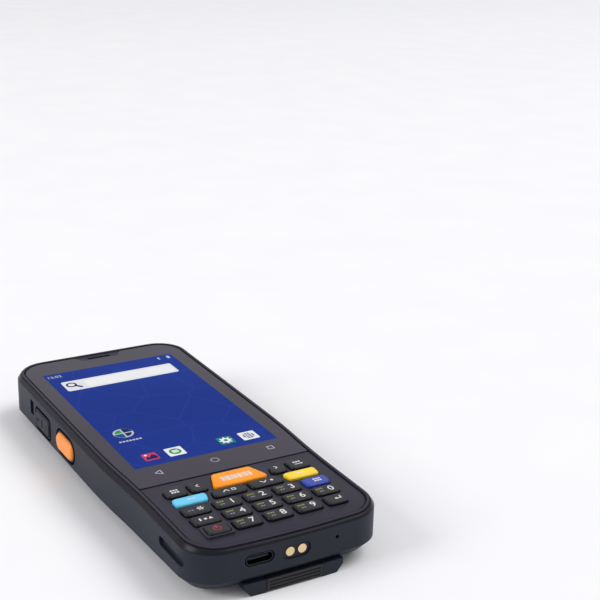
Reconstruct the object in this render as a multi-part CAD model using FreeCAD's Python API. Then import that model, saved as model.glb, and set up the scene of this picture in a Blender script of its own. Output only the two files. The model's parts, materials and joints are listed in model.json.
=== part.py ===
import FreeCAD
import Part
import os
from math import asin, atan2, cos, pi, sin, sqrt, tan

# A handheld barcode data terminal, lying on its back, in millimetres.
# X runs to the right of the screen, Y towards the earpiece end, Z out of the screen.
# The origin is under the middle of the body, on the surface that it lies on.

V = FreeCAD.Vector
os.makedirs("parts", exist_ok=True)

# Overall plan of the body
LENGTH = 160.0
HEAD_WIDTH = 69.0
TAIL_WIDTH = 66.0
HEAD_CORNER = 12.5
TAIL_CORNER = 11.5
TAIL_BOW = 350.0
WAIST_TOP = -2.0
WAIST_LENGTH = 45.0

# Levels above the surface that the body lies on
GLASS_TOP = 18.0
RIM_PROUD = 0.2
PANEL_SUNK = 0.2
PARTING_DROP = 2.1
BACK_RISE = 1.4
BACK_BEVEL = 3.2
BACK_EDGE_DEPTH = 5.0
TAIL_LIFT = 2.0
TAIL_LIFT_LENGTH = 40.0
TAIL_LIFT_BEND = 400.0
RIM_DROP_LENGTH = 14.0
RIM_DROP = 1.1

# Walls and the rim, as insets from the body's outline
WALL = 2.0
RIM_INSET = 1.5
RIM_WIDTH = 0.9
RIM_GROOVE = 0.6
GROOVE_DEPTH = 0.45
SKIRT_DEPTH = 1.2
SKIRT_WALL = 1.3
CLEARANCE = 0.15
SEAT = 0.1

# Screen
GLASS_THICKNESS = 1.1
GLASS_BOTTOM = -34.8
GLASS_GAP = 0.15
PANEL_GAP = 0.5
DISPLAY_WIDTH = 56.0
DISPLAY_LENGTH = 95.0
DISPLAY_DEPTH = 2.0
DISPLAY_CENTRE = 21.8
TAB_TOP_WIDTH = 20.0
TAB_FOOT_WIDTH = 13.6
TAB_REACH = 5.2
EAR_SLOT_WIDTH = 9.4
EAR_SLOT_HEIGHT = 1.4
EAR_SLOT_INSET = 1.6

# Keys
KEY_PROUD = 0.9
KEY_GAP = 0.22
KEY_FLANGE = 0.5
KEY_FLANGE_THICKNESS = 0.6
KEY_TRAVEL = 0.6
KEY_CORNER = 1.1
KEY_BEVEL = 0.4
POWER_RING_REACH = 1.0
POWER_RING_RISE = 0.4
PANEL_THICKNESS = 1.5
COLUMN_PITCH = 10.45
OUTER_COLUMN = 21.0
ROW_PITCH = 6.6
FIRST_DIGIT_ROW = -55.5
KEY_WIDTH = 8.7
KEY_HEIGHT = 5.1
UPPER_ROW = -42.2
UPPER_KEY_HEIGHT = 5.8
ARROW_ROW = -48.95
ARROW_KEY_HEIGHT = 4.5
SCAN_TOP_WIDTH = 13.6
SCAN_FOOT_WIDTH = 19.8
SCAN_HEIGHT = 8.5
SCAN_CENTRE = -41.3
MAT_THICKNESS = 0.8
DOME_RISE = 0.35
BOARD_THICKNESS = 1.0
KEYPAD_TOP = -37.4

# Side triggers and the volume rocker
TRIGGER_LENGTH = 15.0
TRIGGER_WIDTH = 6.6
TRIGGER_PROUD = 0.9
TRIGGER_TRAVEL = 0.8
TRIGGER_Y = 19.5
TRIGGER_Z = 10.4
ROCKER_LENGTH = 13.2
ROCKER_WIDTH = 6.4
ROCKER_PROUD = 0.45
ROCKER_Y = 42.2
ROCKER_Z = 9.7
BUTTON_BEVEL = 0.6
BUTTON_FLANGE = 0.8
BUTTON_FLANGE_THICKNESS = 0.7
SWITCH_DEPTH = 2.4

# Battery, its bay and its cover
BAY_WIDTH = 52.0
BAY_LENGTH = 66.0
BAY_CENTRE = -19.0
BATTERY_THICKNESS = 5.7
BAY_FIT = 0.4
COVER_THICKNESS = 1.9
COVER_LIP = 3.0
COVER_CORNER = 4.0
COVER_BEVEL_WIDTH = 2.2
COVER_BEVEL_RISE = 2.6
TONGUE_WIDTH = 34.0
TONGUE_THICKNESS = 4.3
TONGUE_START = -55.0
TONGUE_TAPER_END = -64.0
TONGUE_BACK = -63.0
TONGUE_GAP = 0.6
HINGE_TAB_WIDTH = 6.0
HINGE_TAB_SPACING = 36.0
HINGE_TAB_REACH = 1.6
HINGE_TAB_ROOT = 2.5
HINGE_ROLL_RADIUS = 0.7
HINGE_INSET = 0.1
HINGE_RISE = 2.0
HINGE_TAB_THICKNESS = 1.0
BAY_CEILING = 1.2
PAD_THICKNESS = 0.3

# Latch of the battery cover
LATCH_WIDTH = 19.0
LATCH_DEPTH = 6.0
LATCH_HEIGHT = 4.4
LATCH_TRAVEL = 1.5
LATCH_RIB_PITCH = 1.1
LATCH_RIB_DEPTH = 0.4
LATCH_RAIL = 0.8

# Bottom end
USB_X = -12.0
USB_RISE = 11.95
USB_WIDTH = 9.0
USB_HEIGHT = 3.2
USB_LENGTH = 7.3
USB_SHELL = 0.3
USB_MOUTH_MARGIN = 0.35
CONTACT_X = 0.2
CONTACT_RISE = 11.6
CONTACT_SPACING = 4.1
CONTACT_RADIUS = 1.45
CONTACT_POCKET_WIDTH = 9.6
CONTACT_POCKET_HEIGHT = 5.0
CONTACT_POCKET_DEPTH = 0.5
MIC_X = 14.4
MIC_RISE = 12.2
MIC_RADIUS = 0.6
MIC_DEPTH = 1.4

# Side slot by the keypad and the strap eye by the volume rocker
SLOT_LENGTH = 16.0
SLOT_HEIGHT = 3.2
SLOT_DEPTH = 1.3
SLOT_Y = -63.3
SLOT_RISE = 11.5
EYE_Y = 53.8
EYE_RISE = 11.6
EYE_LENGTH = 3.4
EYE_HEIGHT = 5.6
EYE_DEPTH = 1.0

# Scanner in the top end
WINDOW_X = -4.6
WINDOW_RISE = 9.6
WINDOW_WIDTH = 33.0
WINDOW_HEIGHT = 7.6
WINDOW_THICKNESS = 1.2
WINDOW_SUNK = 0.4
WINDOW_FLANGE = 0.5
ENGINE_WIDTH = 21.0
ENGINE_HEIGHT = 8.0
ENGINE_DEPTH = 11.0

# Camera hump on the back
HUMP_Y = 60.0
HUMP_LENGTH = 22.0
HUMP_WIDTH = 44.0
HUMP_CORNER = 5.0
CAMERA_X = 12.0
CAMERA_RADIUS = 4.2
FLASH_X = 2.0
FLASH_RADIUS = 1.8
LENS_SUNK = 0.3
SPEAKER_X = -12.0
SPEAKER_WIDTH = 11.0
SPEAKER_LENGTH = 15.0
SPEAKER_HEIGHT = 3.5
GRILLE_SLOTS = 5
GRILLE_PITCH = 1.9
GRILLE_WIDTH = 0.9
GRILLE_LENGTH = 8.0

# Boards and screws
MAIN_BOARD_THICKNESS = 1.0
SCREW_HEAD_RADIUS = 1.9
SCREW_RADIUS = 0.8
SCREW_INSET = 6.0
SCREW_Y = 33.0
SCREW_HEAD_DEPTH = 1.2

# Places worked out from the sizes above
HALF = LENGTH / 2.0
RIM_TOP = GLASS_TOP + RIM_PROUD
PANEL_TOP = GLASS_TOP - PANEL_SUNK
PARTING = GLASS_TOP - PARTING_DROP
GLASS_BASE = GLASS_TOP - GLASS_THICKNESS
PANEL_BASE = PANEL_TOP - PANEL_THICKNESS
SKIRT_BASE = PARTING - SKIRT_DEPTH
RIM_INNER = RIM_INSET + RIM_WIDTH
PANEL_INSET = RIM_INNER + RIM_GROOVE
BATTERY_TOP = COVER_THICKNESS + SEAT + BATTERY_THICKNESS
CEILING_BASE = BATTERY_TOP + BAY_FIT
MAIN_FLOOR = CEILING_BASE + BAY_CEILING
HEAD_FLOOR = BACK_RISE + WALL
BAY_TOP_Y = BAY_CENTRE + BAY_LENGTH / 2.0
BAY_FOOT_Y = BAY_CENTRE - BAY_LENGTH / 2.0
COVER_TOP_Y = BAY_TOP_Y + COVER_LIP
COVER_HALF = BAY_WIDTH / 2.0 + COVER_LIP
WAIST_FOOT = WAIST_TOP - WAIST_LENGTH
KEY_TOP = PANEL_TOP + KEY_PROUD
KEY_FLANGE_TOP = PANEL_BASE - SEAT
KEY_BASE = KEY_FLANGE_TOP - KEY_FLANGE_THICKNESS
MAT_TOP = KEY_BASE - KEY_TRAVEL - SEAT
BOARD_TOP = MAT_TOP - MAT_THICKNESS
FAR = 200.0


def line(a, b):
    return Part.LineSegment(a, b).toShape()


def arc(a, middle, b):
    return Part.Arc(a, middle, b).toShape()


def polygon(points, z=0.0):
    corners = [V(x, y, z) for x, y in points]
    edges = [line(p, q) for p, q in zip(corners, corners[1:] + corners[:1])]
    return Part.Face(Part.Wire(edges))


def block(x0, x1, y0, y1, z0, z1):
    return Part.makeBox(x1 - x0, y1 - y0, z1 - z0, V(x0, y0, z0))


def extrude(face, z0, z1):
    solid = face.extrude(V(0, 0, z1 - z0))
    solid.translate(V(0, 0, z0))
    return solid


def on_arc(centre, radius, angle):
    return V(centre[0] + radius * cos(angle), centre[1] + radius * sin(angle), 0)


def outline(inset=0.0):
    """Face of the body's plan, moved in from its outer wall by the inset."""
    head = HEAD_WIDTH / 2.0
    tail = TAIL_WIDTH / 2.0
    bow = (0.0, TAIL_BOW - HALF)
    reach = TAIL_BOW - TAIL_CORNER
    tail_y = bow[1] - sqrt(reach ** 2 - (tail - TAIL_CORNER) ** 2)
    turn = atan2(tail_y - bow[1], tail - TAIL_CORNER)
    corner = (tail - TAIL_CORNER, tail_y)
    foot = on_arc(bow, TAIL_BOW - inset, turn)
    right = [
        (
            foot,
            on_arc(corner, TAIL_CORNER - inset, turn / 2.0),
            on_arc(corner, TAIL_CORNER - inset, 0.0),
        )
    ]
    step = head - tail
    if abs(step) < 0.05:
        right.append((right[-1][-1], V(head - inset, HALF - HEAD_CORNER, 0)))
    else:
        bend = (step ** 2 + WAIST_LENGTH ** 2) / (4.0 * step)
        sweep = asin(WAIST_LENGTH / 2.0 / bend)
        lower = (tail + bend, WAIST_FOOT)
        upper = (head - bend, WAIST_TOP)
        middle = on_arc(upper, bend - inset, -sweep)
        right.append((right[-1][-1], V(tail - inset, WAIST_FOOT, 0)))
        right.append(
            (right[-1][-1], on_arc(lower, bend + inset, pi - sweep / 2.0), middle)
        )
        right.append(
            (
                middle,
                on_arc(upper, bend - inset, -sweep / 2.0),
                V(head - inset, WAIST_TOP, 0),
            )
        )
        right.append((right[-1][-1], V(head - inset, HALF - HEAD_CORNER, 0)))
    shoulder = (head - HEAD_CORNER, HALF - HEAD_CORNER)
    right.append(
        (
            right[-1][-1],
            on_arc(shoulder, HEAD_CORNER - inset, pi / 4.0),
            on_arc(shoulder, HEAD_CORNER - inset, pi / 2.0),
        )
    )
    edges = []
    for run in right:
        edges.append(arc(*run) if len(run) == 3 else line(*run))
    crown = right[-1][-1]
    edges.append(line(crown, V(-crown.x, crown.y, 0)))
    for run in reversed(right):
        flipped = [V(-p.x, p.y, 0) for p in reversed(run)]
        edges.append(arc(*flipped) if len(run) == 3 else line(*flipped))
    edges.append(arc(V(-foot.x, foot.y, 0), V(0, inset - HALF, 0), foot))
    return Part.Face(Part.Wire(edges))


def prism(inset, z0, z1):
    return extrude(outline(inset), z0, z1)


def side_profile(points):
    """Solid across the whole width from a wire of side-view runs of (y, z) points."""
    edges = []
    for run in points:
        spots = [V(-FAR, y, z) for y, z in run]
        edges.append(arc(*spots) if len(spots) == 3 else line(*spots))
    return Part.Face(Part.Wire(edges)).extrude(V(2 * FAR, 0, 0))


def under_front(level):
    """Everything below a front surface that falls away at the bottom end."""
    start = RIM_DROP_LENGTH - HALF
    radius = (RIM_DROP_LENGTH ** 2 + RIM_DROP ** 2) / (2.0 * RIM_DROP)
    reach = RIM_DROP_LENGTH + 3.0
    half_reach = reach / 2.0
    end = (start - reach, level - radius + sqrt(radius ** 2 - reach ** 2))
    middle = (
        start - half_reach,
        level - radius + sqrt(radius ** 2 - half_reach ** 2),
    )
    return side_profile(
        [
            [(FAR, level), (start, level)],
            [(start, level), middle, end],
            [end, (end[0], -FAR)],
            [(end[0], -FAR), (FAR, -FAR)],
            [(FAR, -FAR), (FAR, level)],
        ]
    )


def above_back():
    """Everything above the back, which rises towards the bottom end."""
    slope = atan2(TAIL_LIFT, TAIL_LIFT_LENGTH)
    start = TAIL_LIFT_LENGTH - HALF
    spread = TAIL_LIFT_BEND * tan(slope / 2.0)
    near = (start + spread, BACK_RISE)
    far = (start - spread * cos(slope), BACK_RISE + spread * sin(slope))
    middle_turn = slope / 2.0
    middle = (
        near[0] - TAIL_LIFT_BEND * sin(middle_turn),
        BACK_RISE + TAIL_LIFT_BEND * (1.0 - cos(middle_turn)),
    )
    beyond = (-HALF - 5.0, BACK_RISE + TAIL_LIFT + 5.0 * tan(slope))
    return side_profile(
        [
            [(FAR, BACK_RISE), near],
            [near, middle, far],
            [far, beyond],
            [beyond, (beyond[0], FAR)],
            [(beyond[0], FAR), (FAR, FAR)],
            [(FAR, FAR), (FAR, BACK_RISE)],
        ]
    )


def rounded_rect(width, height, radius):
    """Face about the origin with four round corners."""
    w = width / 2.0
    h = height / 2.0
    r = min(radius, w - 0.01, h - 0.01)
    k = r * (1.0 - sqrt(0.5))
    edges = [
        line(V(-w + r, -h, 0), V(w - r, -h, 0)),
        arc(V(w - r, -h, 0), V(w - k, -h + k, 0), V(w, -h + r, 0)),
        line(V(w, -h + r, 0), V(w, h - r, 0)),
        arc(V(w, h - r, 0), V(w - k, h - k, 0), V(w - r, h, 0)),
        line(V(w - r, h, 0), V(-w + r, h, 0)),
        arc(V(-w + r, h, 0), V(-w + k, h - k, 0), V(-w, h - r, 0)),
        line(V(-w, h - r, 0), V(-w, -h + r, 0)),
        arc(V(-w, -h + r, 0), V(-w + k, -h + k, 0), V(-w + r, -h, 0)),
    ]
    return Part.Face(Part.Wire(edges))


def rounded_polygon(points, radius, faceted=False):
    """Face with the polygon's corners rounded to the radius, by an arc or by two facets."""
    count = len(points)
    starts = []
    for i in range(count):
        p = V(points[i][0], points[i][1], 0)
        before = V(points[i - 1][0], points[i - 1][1], 0) - p
        after = V(points[(i + 1) % count][0], points[(i + 1) % count][1], 0) - p
        half = before.getAngle(after) / 2.0
        back = min(radius / tan(half), before.Length * 0.45, after.Length * 0.45)
        bend = back * tan(half)
        a = p + V(before).normalize() * back
        b = p + V(after).normalize() * back
        inward = (V(before).normalize() + V(after).normalize()).normalize()
        middle = p + inward * (bend / sin(half) - bend)
        starts.append((a, middle, b))
    edges = []
    for i in range(count):
        a, middle, b = starts[i]
        if faceted:
            edges.append(line(a, middle))
            edges.append(line(middle, b))
        else:
            edges.append(arc(a, middle, b))
        edges.append(line(b, starts[(i + 1) % count][0]))
    return Part.Face(Part.Wire(edges))


def grown(points, margin):
    """Polygon with each side moved out by the margin."""
    count = len(points)
    turn = 0.0
    for i in range(count):
        x0, y0 = points[i]
        x1, y1 = points[(i + 1) % count]
        turn += x0 * y1 - x1 * y0
    side = 1.0 if turn > 0 else -1.0
    moved = []
    for i in range(count):
        p = V(points[i][0], points[i][1], 0)
        before = (p - V(points[i - 1][0], points[i - 1][1], 0)).normalize()
        after = (V(*points[(i + 1) % count], 0) - p).normalize()
        n0 = V(before.y * side, -before.x * side, 0)
        n1 = V(after.y * side, -after.x * side, 0)
        shift = (n0 + n1) * (margin / (1.0 + n0.dot(n1)))
        moved.append((p.x + shift.x, p.y + shift.y))
    return moved


def place(face, x, y, z=0.0):
    moved = face.copy()
    moved.translate(V(x, y, z))
    return moved


def upright(face, x, y, z, depth):
    """Face drawn in X and Z, pushed along +Y by the depth from y."""
    turned = face.copy()
    turned.rotate(V(0, 0, 0), V(1, 0, 0), 90)
    turned.translate(V(x, y, z))
    return turned.extrude(V(0, depth, 0))


def sideways(face, x, y, z, depth):
    """Face drawn in Y and Z, pushed along +X by the depth from x."""
    turned = face.copy()
    turned.rotate(V(0, 0, 0), V(1, 0, 0), 90)
    turned.rotate(V(0, 0, 0), V(0, 0, 1), 90)
    turned.translate(V(x, y, z))
    return turned.extrude(V(depth, 0, 0))


def save(shape, name):
    whole = shape.removeSplitter()
    solids = whole.Solids
    whole = solids[0] if len(solids) == 1 else Part.makeCompound(solids)
    whole.exportStep(os.path.join("parts", name + ".step"))
    print(name, len(solids), round(whole.Volume, 1), whole.isValid())


# Plan of every front key, as polygons about the body's axis


def key_box(x, y, width, height):
    w = width / 2.0
    h = height / 2.0
    return [(x - w, y - h), (x + w, y - h), (x + w, y + h), (x - w, y + h)]


def mirrored(points):
    return [(-x, y) for x, y in reversed(points)]


def key_plans():
    """Names and plans of the keys, from the screen down."""
    plans = {}
    scan_top = SCAN_CENTRE + SCAN_HEIGHT / 2.0
    scan_foot = SCAN_CENTRE - SCAN_HEIGHT / 2.0
    plans["scan_key"] = [
        (-SCAN_FOOT_WIDTH / 2.0, scan_foot),
        (SCAN_FOOT_WIDTH / 2.0, scan_foot),
        (SCAN_TOP_WIDTH / 2.0, scan_top),
        (-SCAN_TOP_WIDTH / 2.0, scan_top),
    ]
    upper = UPPER_ROW + UPPER_KEY_HEIGHT / 2.0
    lower = UPPER_ROW - UPPER_KEY_HEIGHT / 2.0
    tab = [(-25.4, lower), (-18.4, lower), (-18.4, upper), (-22.4, upper), (-25.4, upper - 1.4)]
    plans["tab_key"] = tab
    plans["delete_key"] = mirrored(tab)
    left = [(-16.9, lower), (-11.1, lower), (-11.9, upper - 1.9), (-15.2, upper), (-16.9, upper)]
    plans["left_key"] = left
    plans["right_key"] = mirrored(left)
    top = ARROW_ROW + ARROW_KEY_HEIGHT / 2.0
    foot = ARROW_ROW - ARROW_KEY_HEIGHT / 2.0
    soft = [(-25.1, foot), (-14.5, foot), (-13.3, top), (-25.3, top)]
    plans["cyan_key"] = soft
    plans["yellow_key"] = mirrored(soft)
    arrow = [(-12.6, foot), (-0.8, foot), (-0.8, top), (-11.4, top)]
    plans["up_key"] = arrow
    plans["down_key"] = mirrored(arrow)
    digits = [["1", "2", "3"], ["4", "5", "6"], ["7", "8", "9"]]
    for row, names in enumerate(digits):
        y = FIRST_DIGIT_ROW - row * ROW_PITCH
        for column, name in enumerate(names):
            x = (column - 1) * COLUMN_PITCH
            plans["digit_" + name + "_key"] = key_box(x, y, KEY_WIDTH, KEY_HEIGHT)
    outer = {
        "star_key": (-1, 0, KEY_WIDTH),
        "shift_key": (-1, 1, KEY_WIDTH),
        "power_key": (-1, 2, KEY_WIDTH - 1.3),
        "function_key": (1, 0, KEY_WIDTH),
        "digit_0_key": (1, 1, KEY_WIDTH - 0.5),
        "enter_key": (1, 2, KEY_WIDTH - 1.6),
    }
    for name, (side, row, width) in outer.items():
        x = side * (OUTER_COLUMN - (KEY_WIDTH - width) / 2.0)
        plans[name] = key_box(x, FIRST_DIGIT_ROW - row * ROW_PITCH, width, KEY_HEIGHT)
    return plans


KEYS = key_plans()


def make_key(points):
    """Cap with a bevelled edge, on a wider flange that keeps it behind the panel."""
    cap = extrude(rounded_polygon(points, KEY_CORNER, True), KEY_BASE, KEY_TOP)
    rim = [e for e in cap.Edges if e.BoundBox.ZMin > KEY_TOP - 0.01]
    cap = cap.makeChamfer(KEY_BEVEL, rim)
    flange = extrude(polygon(grown(points, KEY_FLANGE)), KEY_BASE, KEY_FLANGE_TOP)
    return cap.fuse(flange)


def tab_plan(margin):
    """Plan of the earpiece tab that hangs from the rim into the glass."""
    top = HALF - RIM_INNER + 0.5
    foot = HALF - RIM_INSET - TAB_REACH
    wide = TAB_TOP_WIDTH / 2.0
    narrow = TAB_FOOT_WIDTH / 2.0
    plan = [(-narrow, foot), (narrow, foot), (wide, top), (-wide, top)]
    return grown(plan, margin)


EAR_SLOT_Y = HALF - RIM_INSET - TAB_REACH + EAR_SLOT_INSET


# Front housing: rim, keypad panel and earpiece tab


def front_housing():
    shell = prism(RIM_INSET, SKIRT_BASE, RIM_TOP + 1.0).common(under_front(RIM_TOP))
    below = prism(WALL + CLEARANCE, SKIRT_BASE - 1.0, PARTING)
    ring = prism(RIM_INSET - 1.0, SKIRT_BASE - 1.0, PARTING).cut(below)
    shell = shell.cut(ring)
    inside = prism(WALL + CLEARANCE + SKIRT_WALL, SKIRT_BASE - 1.0, PANEL_BASE)
    shell = shell.cut(inside)
    face = prism(RIM_INNER, 0, FAR).cut(under_front(PANEL_TOP))
    shell = shell.cut(face)
    screen = prism(RIM_INNER, 0, FAR)
    screen = screen.common(block(-FAR, FAR, GLASS_BOTTOM - PANEL_GAP, FAR, GLASS_BASE, FAR))
    tab = extrude(rounded_polygon(tab_plan(0), 1.0), 0, GLASS_TOP + 0.05)
    slot = place(rounded_rect(EAR_SLOT_WIDTH, EAR_SLOT_HEIGHT, 0.6), 0, EAR_SLOT_Y)
    shell = shell.cut(screen.cut(tab)).cut(extrude(slot, 0, FAR))
    window = place(
        rounded_rect(DISPLAY_WIDTH + 0.6, DISPLAY_LENGTH + 0.6, 1.0), 0, DISPLAY_CENTRE
    )
    shell = shell.cut(extrude(window, 0, FAR))
    groove = prism(RIM_INNER, 0, FAR).cut(prism(PANEL_INSET, 0, FAR))
    groove = groove.cut(under_front(PANEL_TOP - GROOVE_DEPTH))
    groove = groove.common(block(-FAR, FAR, -FAR, GLASS_BOTTOM, 0, FAR))
    shell = shell.cut(groove)
    ring = rounded_polygon(grown(KEYS["power_key"], POWER_RING_REACH), KEY_CORNER, True)
    shell = shell.fuse(extrude(ring, PANEL_TOP - 0.5, PANEL_TOP + POWER_RING_RISE))
    for points in KEYS.values():
        hole = rounded_polygon(grown(points, KEY_GAP), KEY_CORNER, True)
        shell = shell.cut(extrude(hole, 0, FAR))
    return shell


def side_band():
    """Bevelled soft band between the rim and the rear housing."""
    body = prism(0, PARTING, RIM_TOP)
    top = [e for e in body.Edges if e.BoundBox.ZMin > RIM_TOP - 0.01]
    body = body.makeChamfer(RIM_TOP - PARTING - 0.25, RIM_INSET - 0.1, top)
    lowered = under_front(RIM_TOP - 0.35)
    return body.common(lowered).cut(prism(RIM_INSET, 0, FAR))


def cover_plan(margin):
    """Plan of the battery cover, with its tongue to the bottom end."""
    half = COVER_HALF
    tongue = TONGUE_WIDTH / 2.0
    end = -HALF - 3.0
    plan = [
        (-tongue, end),
        (tongue, end),
        (tongue, TONGUE_TAPER_END),
        (half, TONGUE_START),
        (half, COVER_TOP_Y),
        (-half, COVER_TOP_Y),
        (-half, TONGUE_START),
        (-tongue, TONGUE_TAPER_END),
    ]
    return rounded_polygon(grown(plan, margin), COVER_CORNER)


def tab_pockets(margin, high):
    """The two hinge tabs with their rolls, or with a margin the pockets round them."""
    pieces = []
    for side in (-1, 1):
        x = side * HINGE_TAB_SPACING / 2.0
        w = HINGE_TAB_WIDTH / 2.0 + margin
        low = COVER_THICKNESS - 0.1
        foot = COVER_TOP_Y - HINGE_TAB_ROOT - 4.0 * margin
        pieces.append(block(x - w, x + w, foot, COVER_TOP_Y + margin, low, high))
        reach = COVER_TOP_Y + HINGE_TAB_REACH + margin
        base = COVER_THICKNESS + 0.3 - margin
        pieces.append(block(x - w, x + w, COVER_TOP_Y - 0.5, reach, base, high))
        start = V(x - w, COVER_TOP_Y - HINGE_INSET, HINGE_RISE)
        roll = HINGE_ROLL_RADIUS + margin / 2.0
        pieces.append(Part.makeCylinder(roll, 2.0 * w, start, V(1, 0, 0)))
    return pieces


def latch_box(margin, travel=0.0):
    half = LATCH_WIDTH / 2.0 + margin
    back = -HALF + LATCH_DEPTH - 0.4 + travel + margin
    return block(-half, half, -HALF - 5.0, back, -1.0, LATCH_HEIGHT + margin)


def rear_housing():
    body = prism(0, 0, PARTING).common(above_back())
    low = [e for e in body.Edges if e.BoundBox.ZMax < BACK_RISE + TAIL_LIFT + 1.0]
    body = body.makeChamfer(BACK_BEVEL, low)
    hump = extrude(
        place(rounded_rect(HUMP_WIDTH, HUMP_LENGTH, HUMP_CORNER), 0, HUMP_Y), 0, HEAD_FLOOR
    )
    rim = [e for e in hump.Edges if e.BoundBox.ZMax < 0.01]
    hump = hump.makeChamfer(BACK_RISE * 0.8, rim)
    body = body.fuse(hump)
    main = prism(WALL, MAIN_FLOOR, FAR)
    head_y = COVER_TOP_Y + HINGE_TAB_REACH + 4.0
    head = prism(WALL, HEAD_FLOOR, FAR)
    head = head.common(prism(BACK_EDGE_DEPTH + 0.5, 0, FAR).fuse(prism(WALL, 5.2, FAR)))
    head = head.common(block(-FAR, FAR, head_y, FAR, 0, FAR))
    body = body.cut(main).cut(head)
    bay = block(
        -BAY_WIDTH / 2.0, BAY_WIDTH / 2.0, BAY_FOOT_Y, BAY_TOP_Y, -1.0, CEILING_BASE
    )
    body = body.cut(bay)
    seat = extrude(cover_plan(CLEARANCE), -1.0, COVER_THICKNESS + CLEARANCE)
    deep = extrude(cover_plan(CLEARANCE), -1.0, TONGUE_THICKNESS + CLEARANCE)
    deep = deep.common(block(-FAR, FAR, -FAR, TONGUE_BACK + TONGUE_GAP, -FAR, FAR))
    body = body.cut(seat).cut(deep)
    pocket_top = COVER_THICKNESS + HINGE_TAB_THICKNESS + 1.4
    for piece in tab_pockets(0.3, pocket_top):
        body = body.cut(piece)
    body = body.cut(latch_box(0.2, LATCH_TRAVEL))
    for side in (-1, 1):
        x = side * HEAD_WIDTH / 2.0
        hole = rounded_rect(
            TRIGGER_LENGTH + 2 * CLEARANCE, TRIGGER_WIDTH + 2 * CLEARANCE, TRIGGER_WIDTH
        )
        body = body.cut(sideways(hole, x - 4.0, TRIGGER_Y, TRIGGER_Z, 8.0))
        length = TRIGGER_LENGTH / 2.0 + BUTTON_FLANGE + 0.3
        height = TRIGGER_WIDTH / 2.0 + BUTTON_FLANGE + 0.3
        inner = HEAD_WIDTH / 2.0 - WALL
        xs = sorted((side * inner, side * (inner - BUTTON_FLANGE_THICKNESS - SWITCH_DEPTH)))
        body = body.cut(
            block(xs[0], xs[1], TRIGGER_Y - length, TRIGGER_Y + length, TRIGGER_Z - height, FAR)
        )
    hole = rounded_rect(ROCKER_LENGTH + 2 * CLEARANCE, ROCKER_WIDTH + 2 * CLEARANCE, 1.6)
    body = body.cut(sideways(hole, -HEAD_WIDTH / 2.0 - 4.0, ROCKER_Y, ROCKER_Z, 8.0))
    eye = rounded_rect(EYE_LENGTH, EYE_HEIGHT, 0.6)
    eye_hole = rounded_rect(EYE_LENGTH * 0.5, EYE_HEIGHT * 0.4, 0.4)
    wall_x = -HEAD_WIDTH / 2.0
    body = body.cut(sideways(eye, wall_x - 1.0, EYE_Y, EYE_RISE, 1.0 + EYE_DEPTH))
    body = body.cut(
        sideways(eye_hole, wall_x - 1.0, EYE_Y, EYE_RISE + EYE_HEIGHT * 0.2, 4.0)
    )
    slot = rounded_rect(SLOT_LENGTH, SLOT_HEIGHT, 1.2)
    for side in (-1, 1):
        x = side * (TAIL_WIDTH / 2.0)
        start = x - SLOT_DEPTH
        body = body.cut(sideways(slot, start, SLOT_Y, SLOT_RISE, 2.0 * SLOT_DEPTH))
    mouth = rounded_rect(
        USB_WIDTH + 2 * USB_MOUTH_MARGIN, USB_HEIGHT + 2 * USB_MOUTH_MARGIN, 1.9
    )
    body = body.cut(upright(mouth, USB_X, -HALF - 1.0, USB_RISE, 6.0))
    pocket = rounded_rect(CONTACT_POCKET_WIDTH, CONTACT_POCKET_HEIGHT, CONTACT_POCKET_HEIGHT)
    body = body.cut(upright(pocket, CONTACT_X, -HALF - 1.0, CONTACT_RISE, 6.0))
    mic = Part.makeCylinder(MIC_RADIUS, 8.0, V(MIC_X, -HALF - 1.0, MIC_RISE), V(0, 1, 0))
    body = body.cut(mic)
    opening = rounded_rect(WINDOW_WIDTH + 0.2, WINDOW_HEIGHT + 0.2, 2.0)
    body = body.cut(upright(opening, WINDOW_X, HALF - 8.0, WINDOW_RISE, 10.0))
    camera = Part.makeCylinder(CAMERA_RADIUS + 0.05, 8.0, V(CAMERA_X, HUMP_Y, -1.0))
    flash = Part.makeCylinder(FLASH_RADIUS + 0.05, 8.0, V(FLASH_X, HUMP_Y, -1.0))
    body = body.cut(camera).cut(flash)
    for i in range(GRILLE_SLOTS):
        y = HUMP_Y + (i - (GRILLE_SLOTS - 1) / 2.0) * GRILLE_PITCH
        gap = place(rounded_rect(GRILLE_LENGTH, GRILLE_WIDTH, 0.4), SPEAKER_X, y)
        body = body.cut(extrude(gap, -1.0, HEAD_FLOOR + 1.0))
    for x, y in SCREWS:
        head_hole = Part.makeCylinder(SCREW_HEAD_RADIUS + 0.15, 20.0, V(x, y, -10.0))
        low = back_level(y) + SCREW_HEAD_DEPTH + 0.4
        head_hole = head_hole.common(block(-FAR, FAR, -FAR, FAR, -FAR, low))
        shank = Part.makeCylinder(SCREW_RADIUS + 0.05, 30.0, V(x, y, -10.0))
        post = Part.makeCylinder(SCREW_HEAD_RADIUS + 0.8, SKIRT_BASE - HEAD_FLOOR, V(x, y, HEAD_FLOOR))
        body = body.fuse(post.cut(prism(0, -FAR, HEAD_FLOOR))).cut(head_hole).cut(shank)
    return body


def back_level(y):
    """Height of the back's flat at a place along the body."""
    rise = TAIL_LIFT_LENGTH - HALF - y
    return BACK_RISE + max(0.0, rise) * TAIL_LIFT / TAIL_LIFT_LENGTH


SCREWS = [
    (side * (HEAD_WIDTH / 2.0 - SCREW_INSET), y)
    for side in (-1, 1)
    for y in (HALF - HEAD_CORNER - 2.0, SCREW_Y)
]


def screws():
    pieces = []
    for x, y in SCREWS:
        low = back_level(y) + 0.4
        head = Part.makeCylinder(SCREW_HEAD_RADIUS, SCREW_HEAD_DEPTH, V(x, y, low))
        shank = Part.makeCylinder(SCREW_RADIUS, SKIRT_BASE - low, V(x, y, low))
        pieces.append(head.fuse(shank))
    return Part.makeCompound(pieces)


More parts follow.
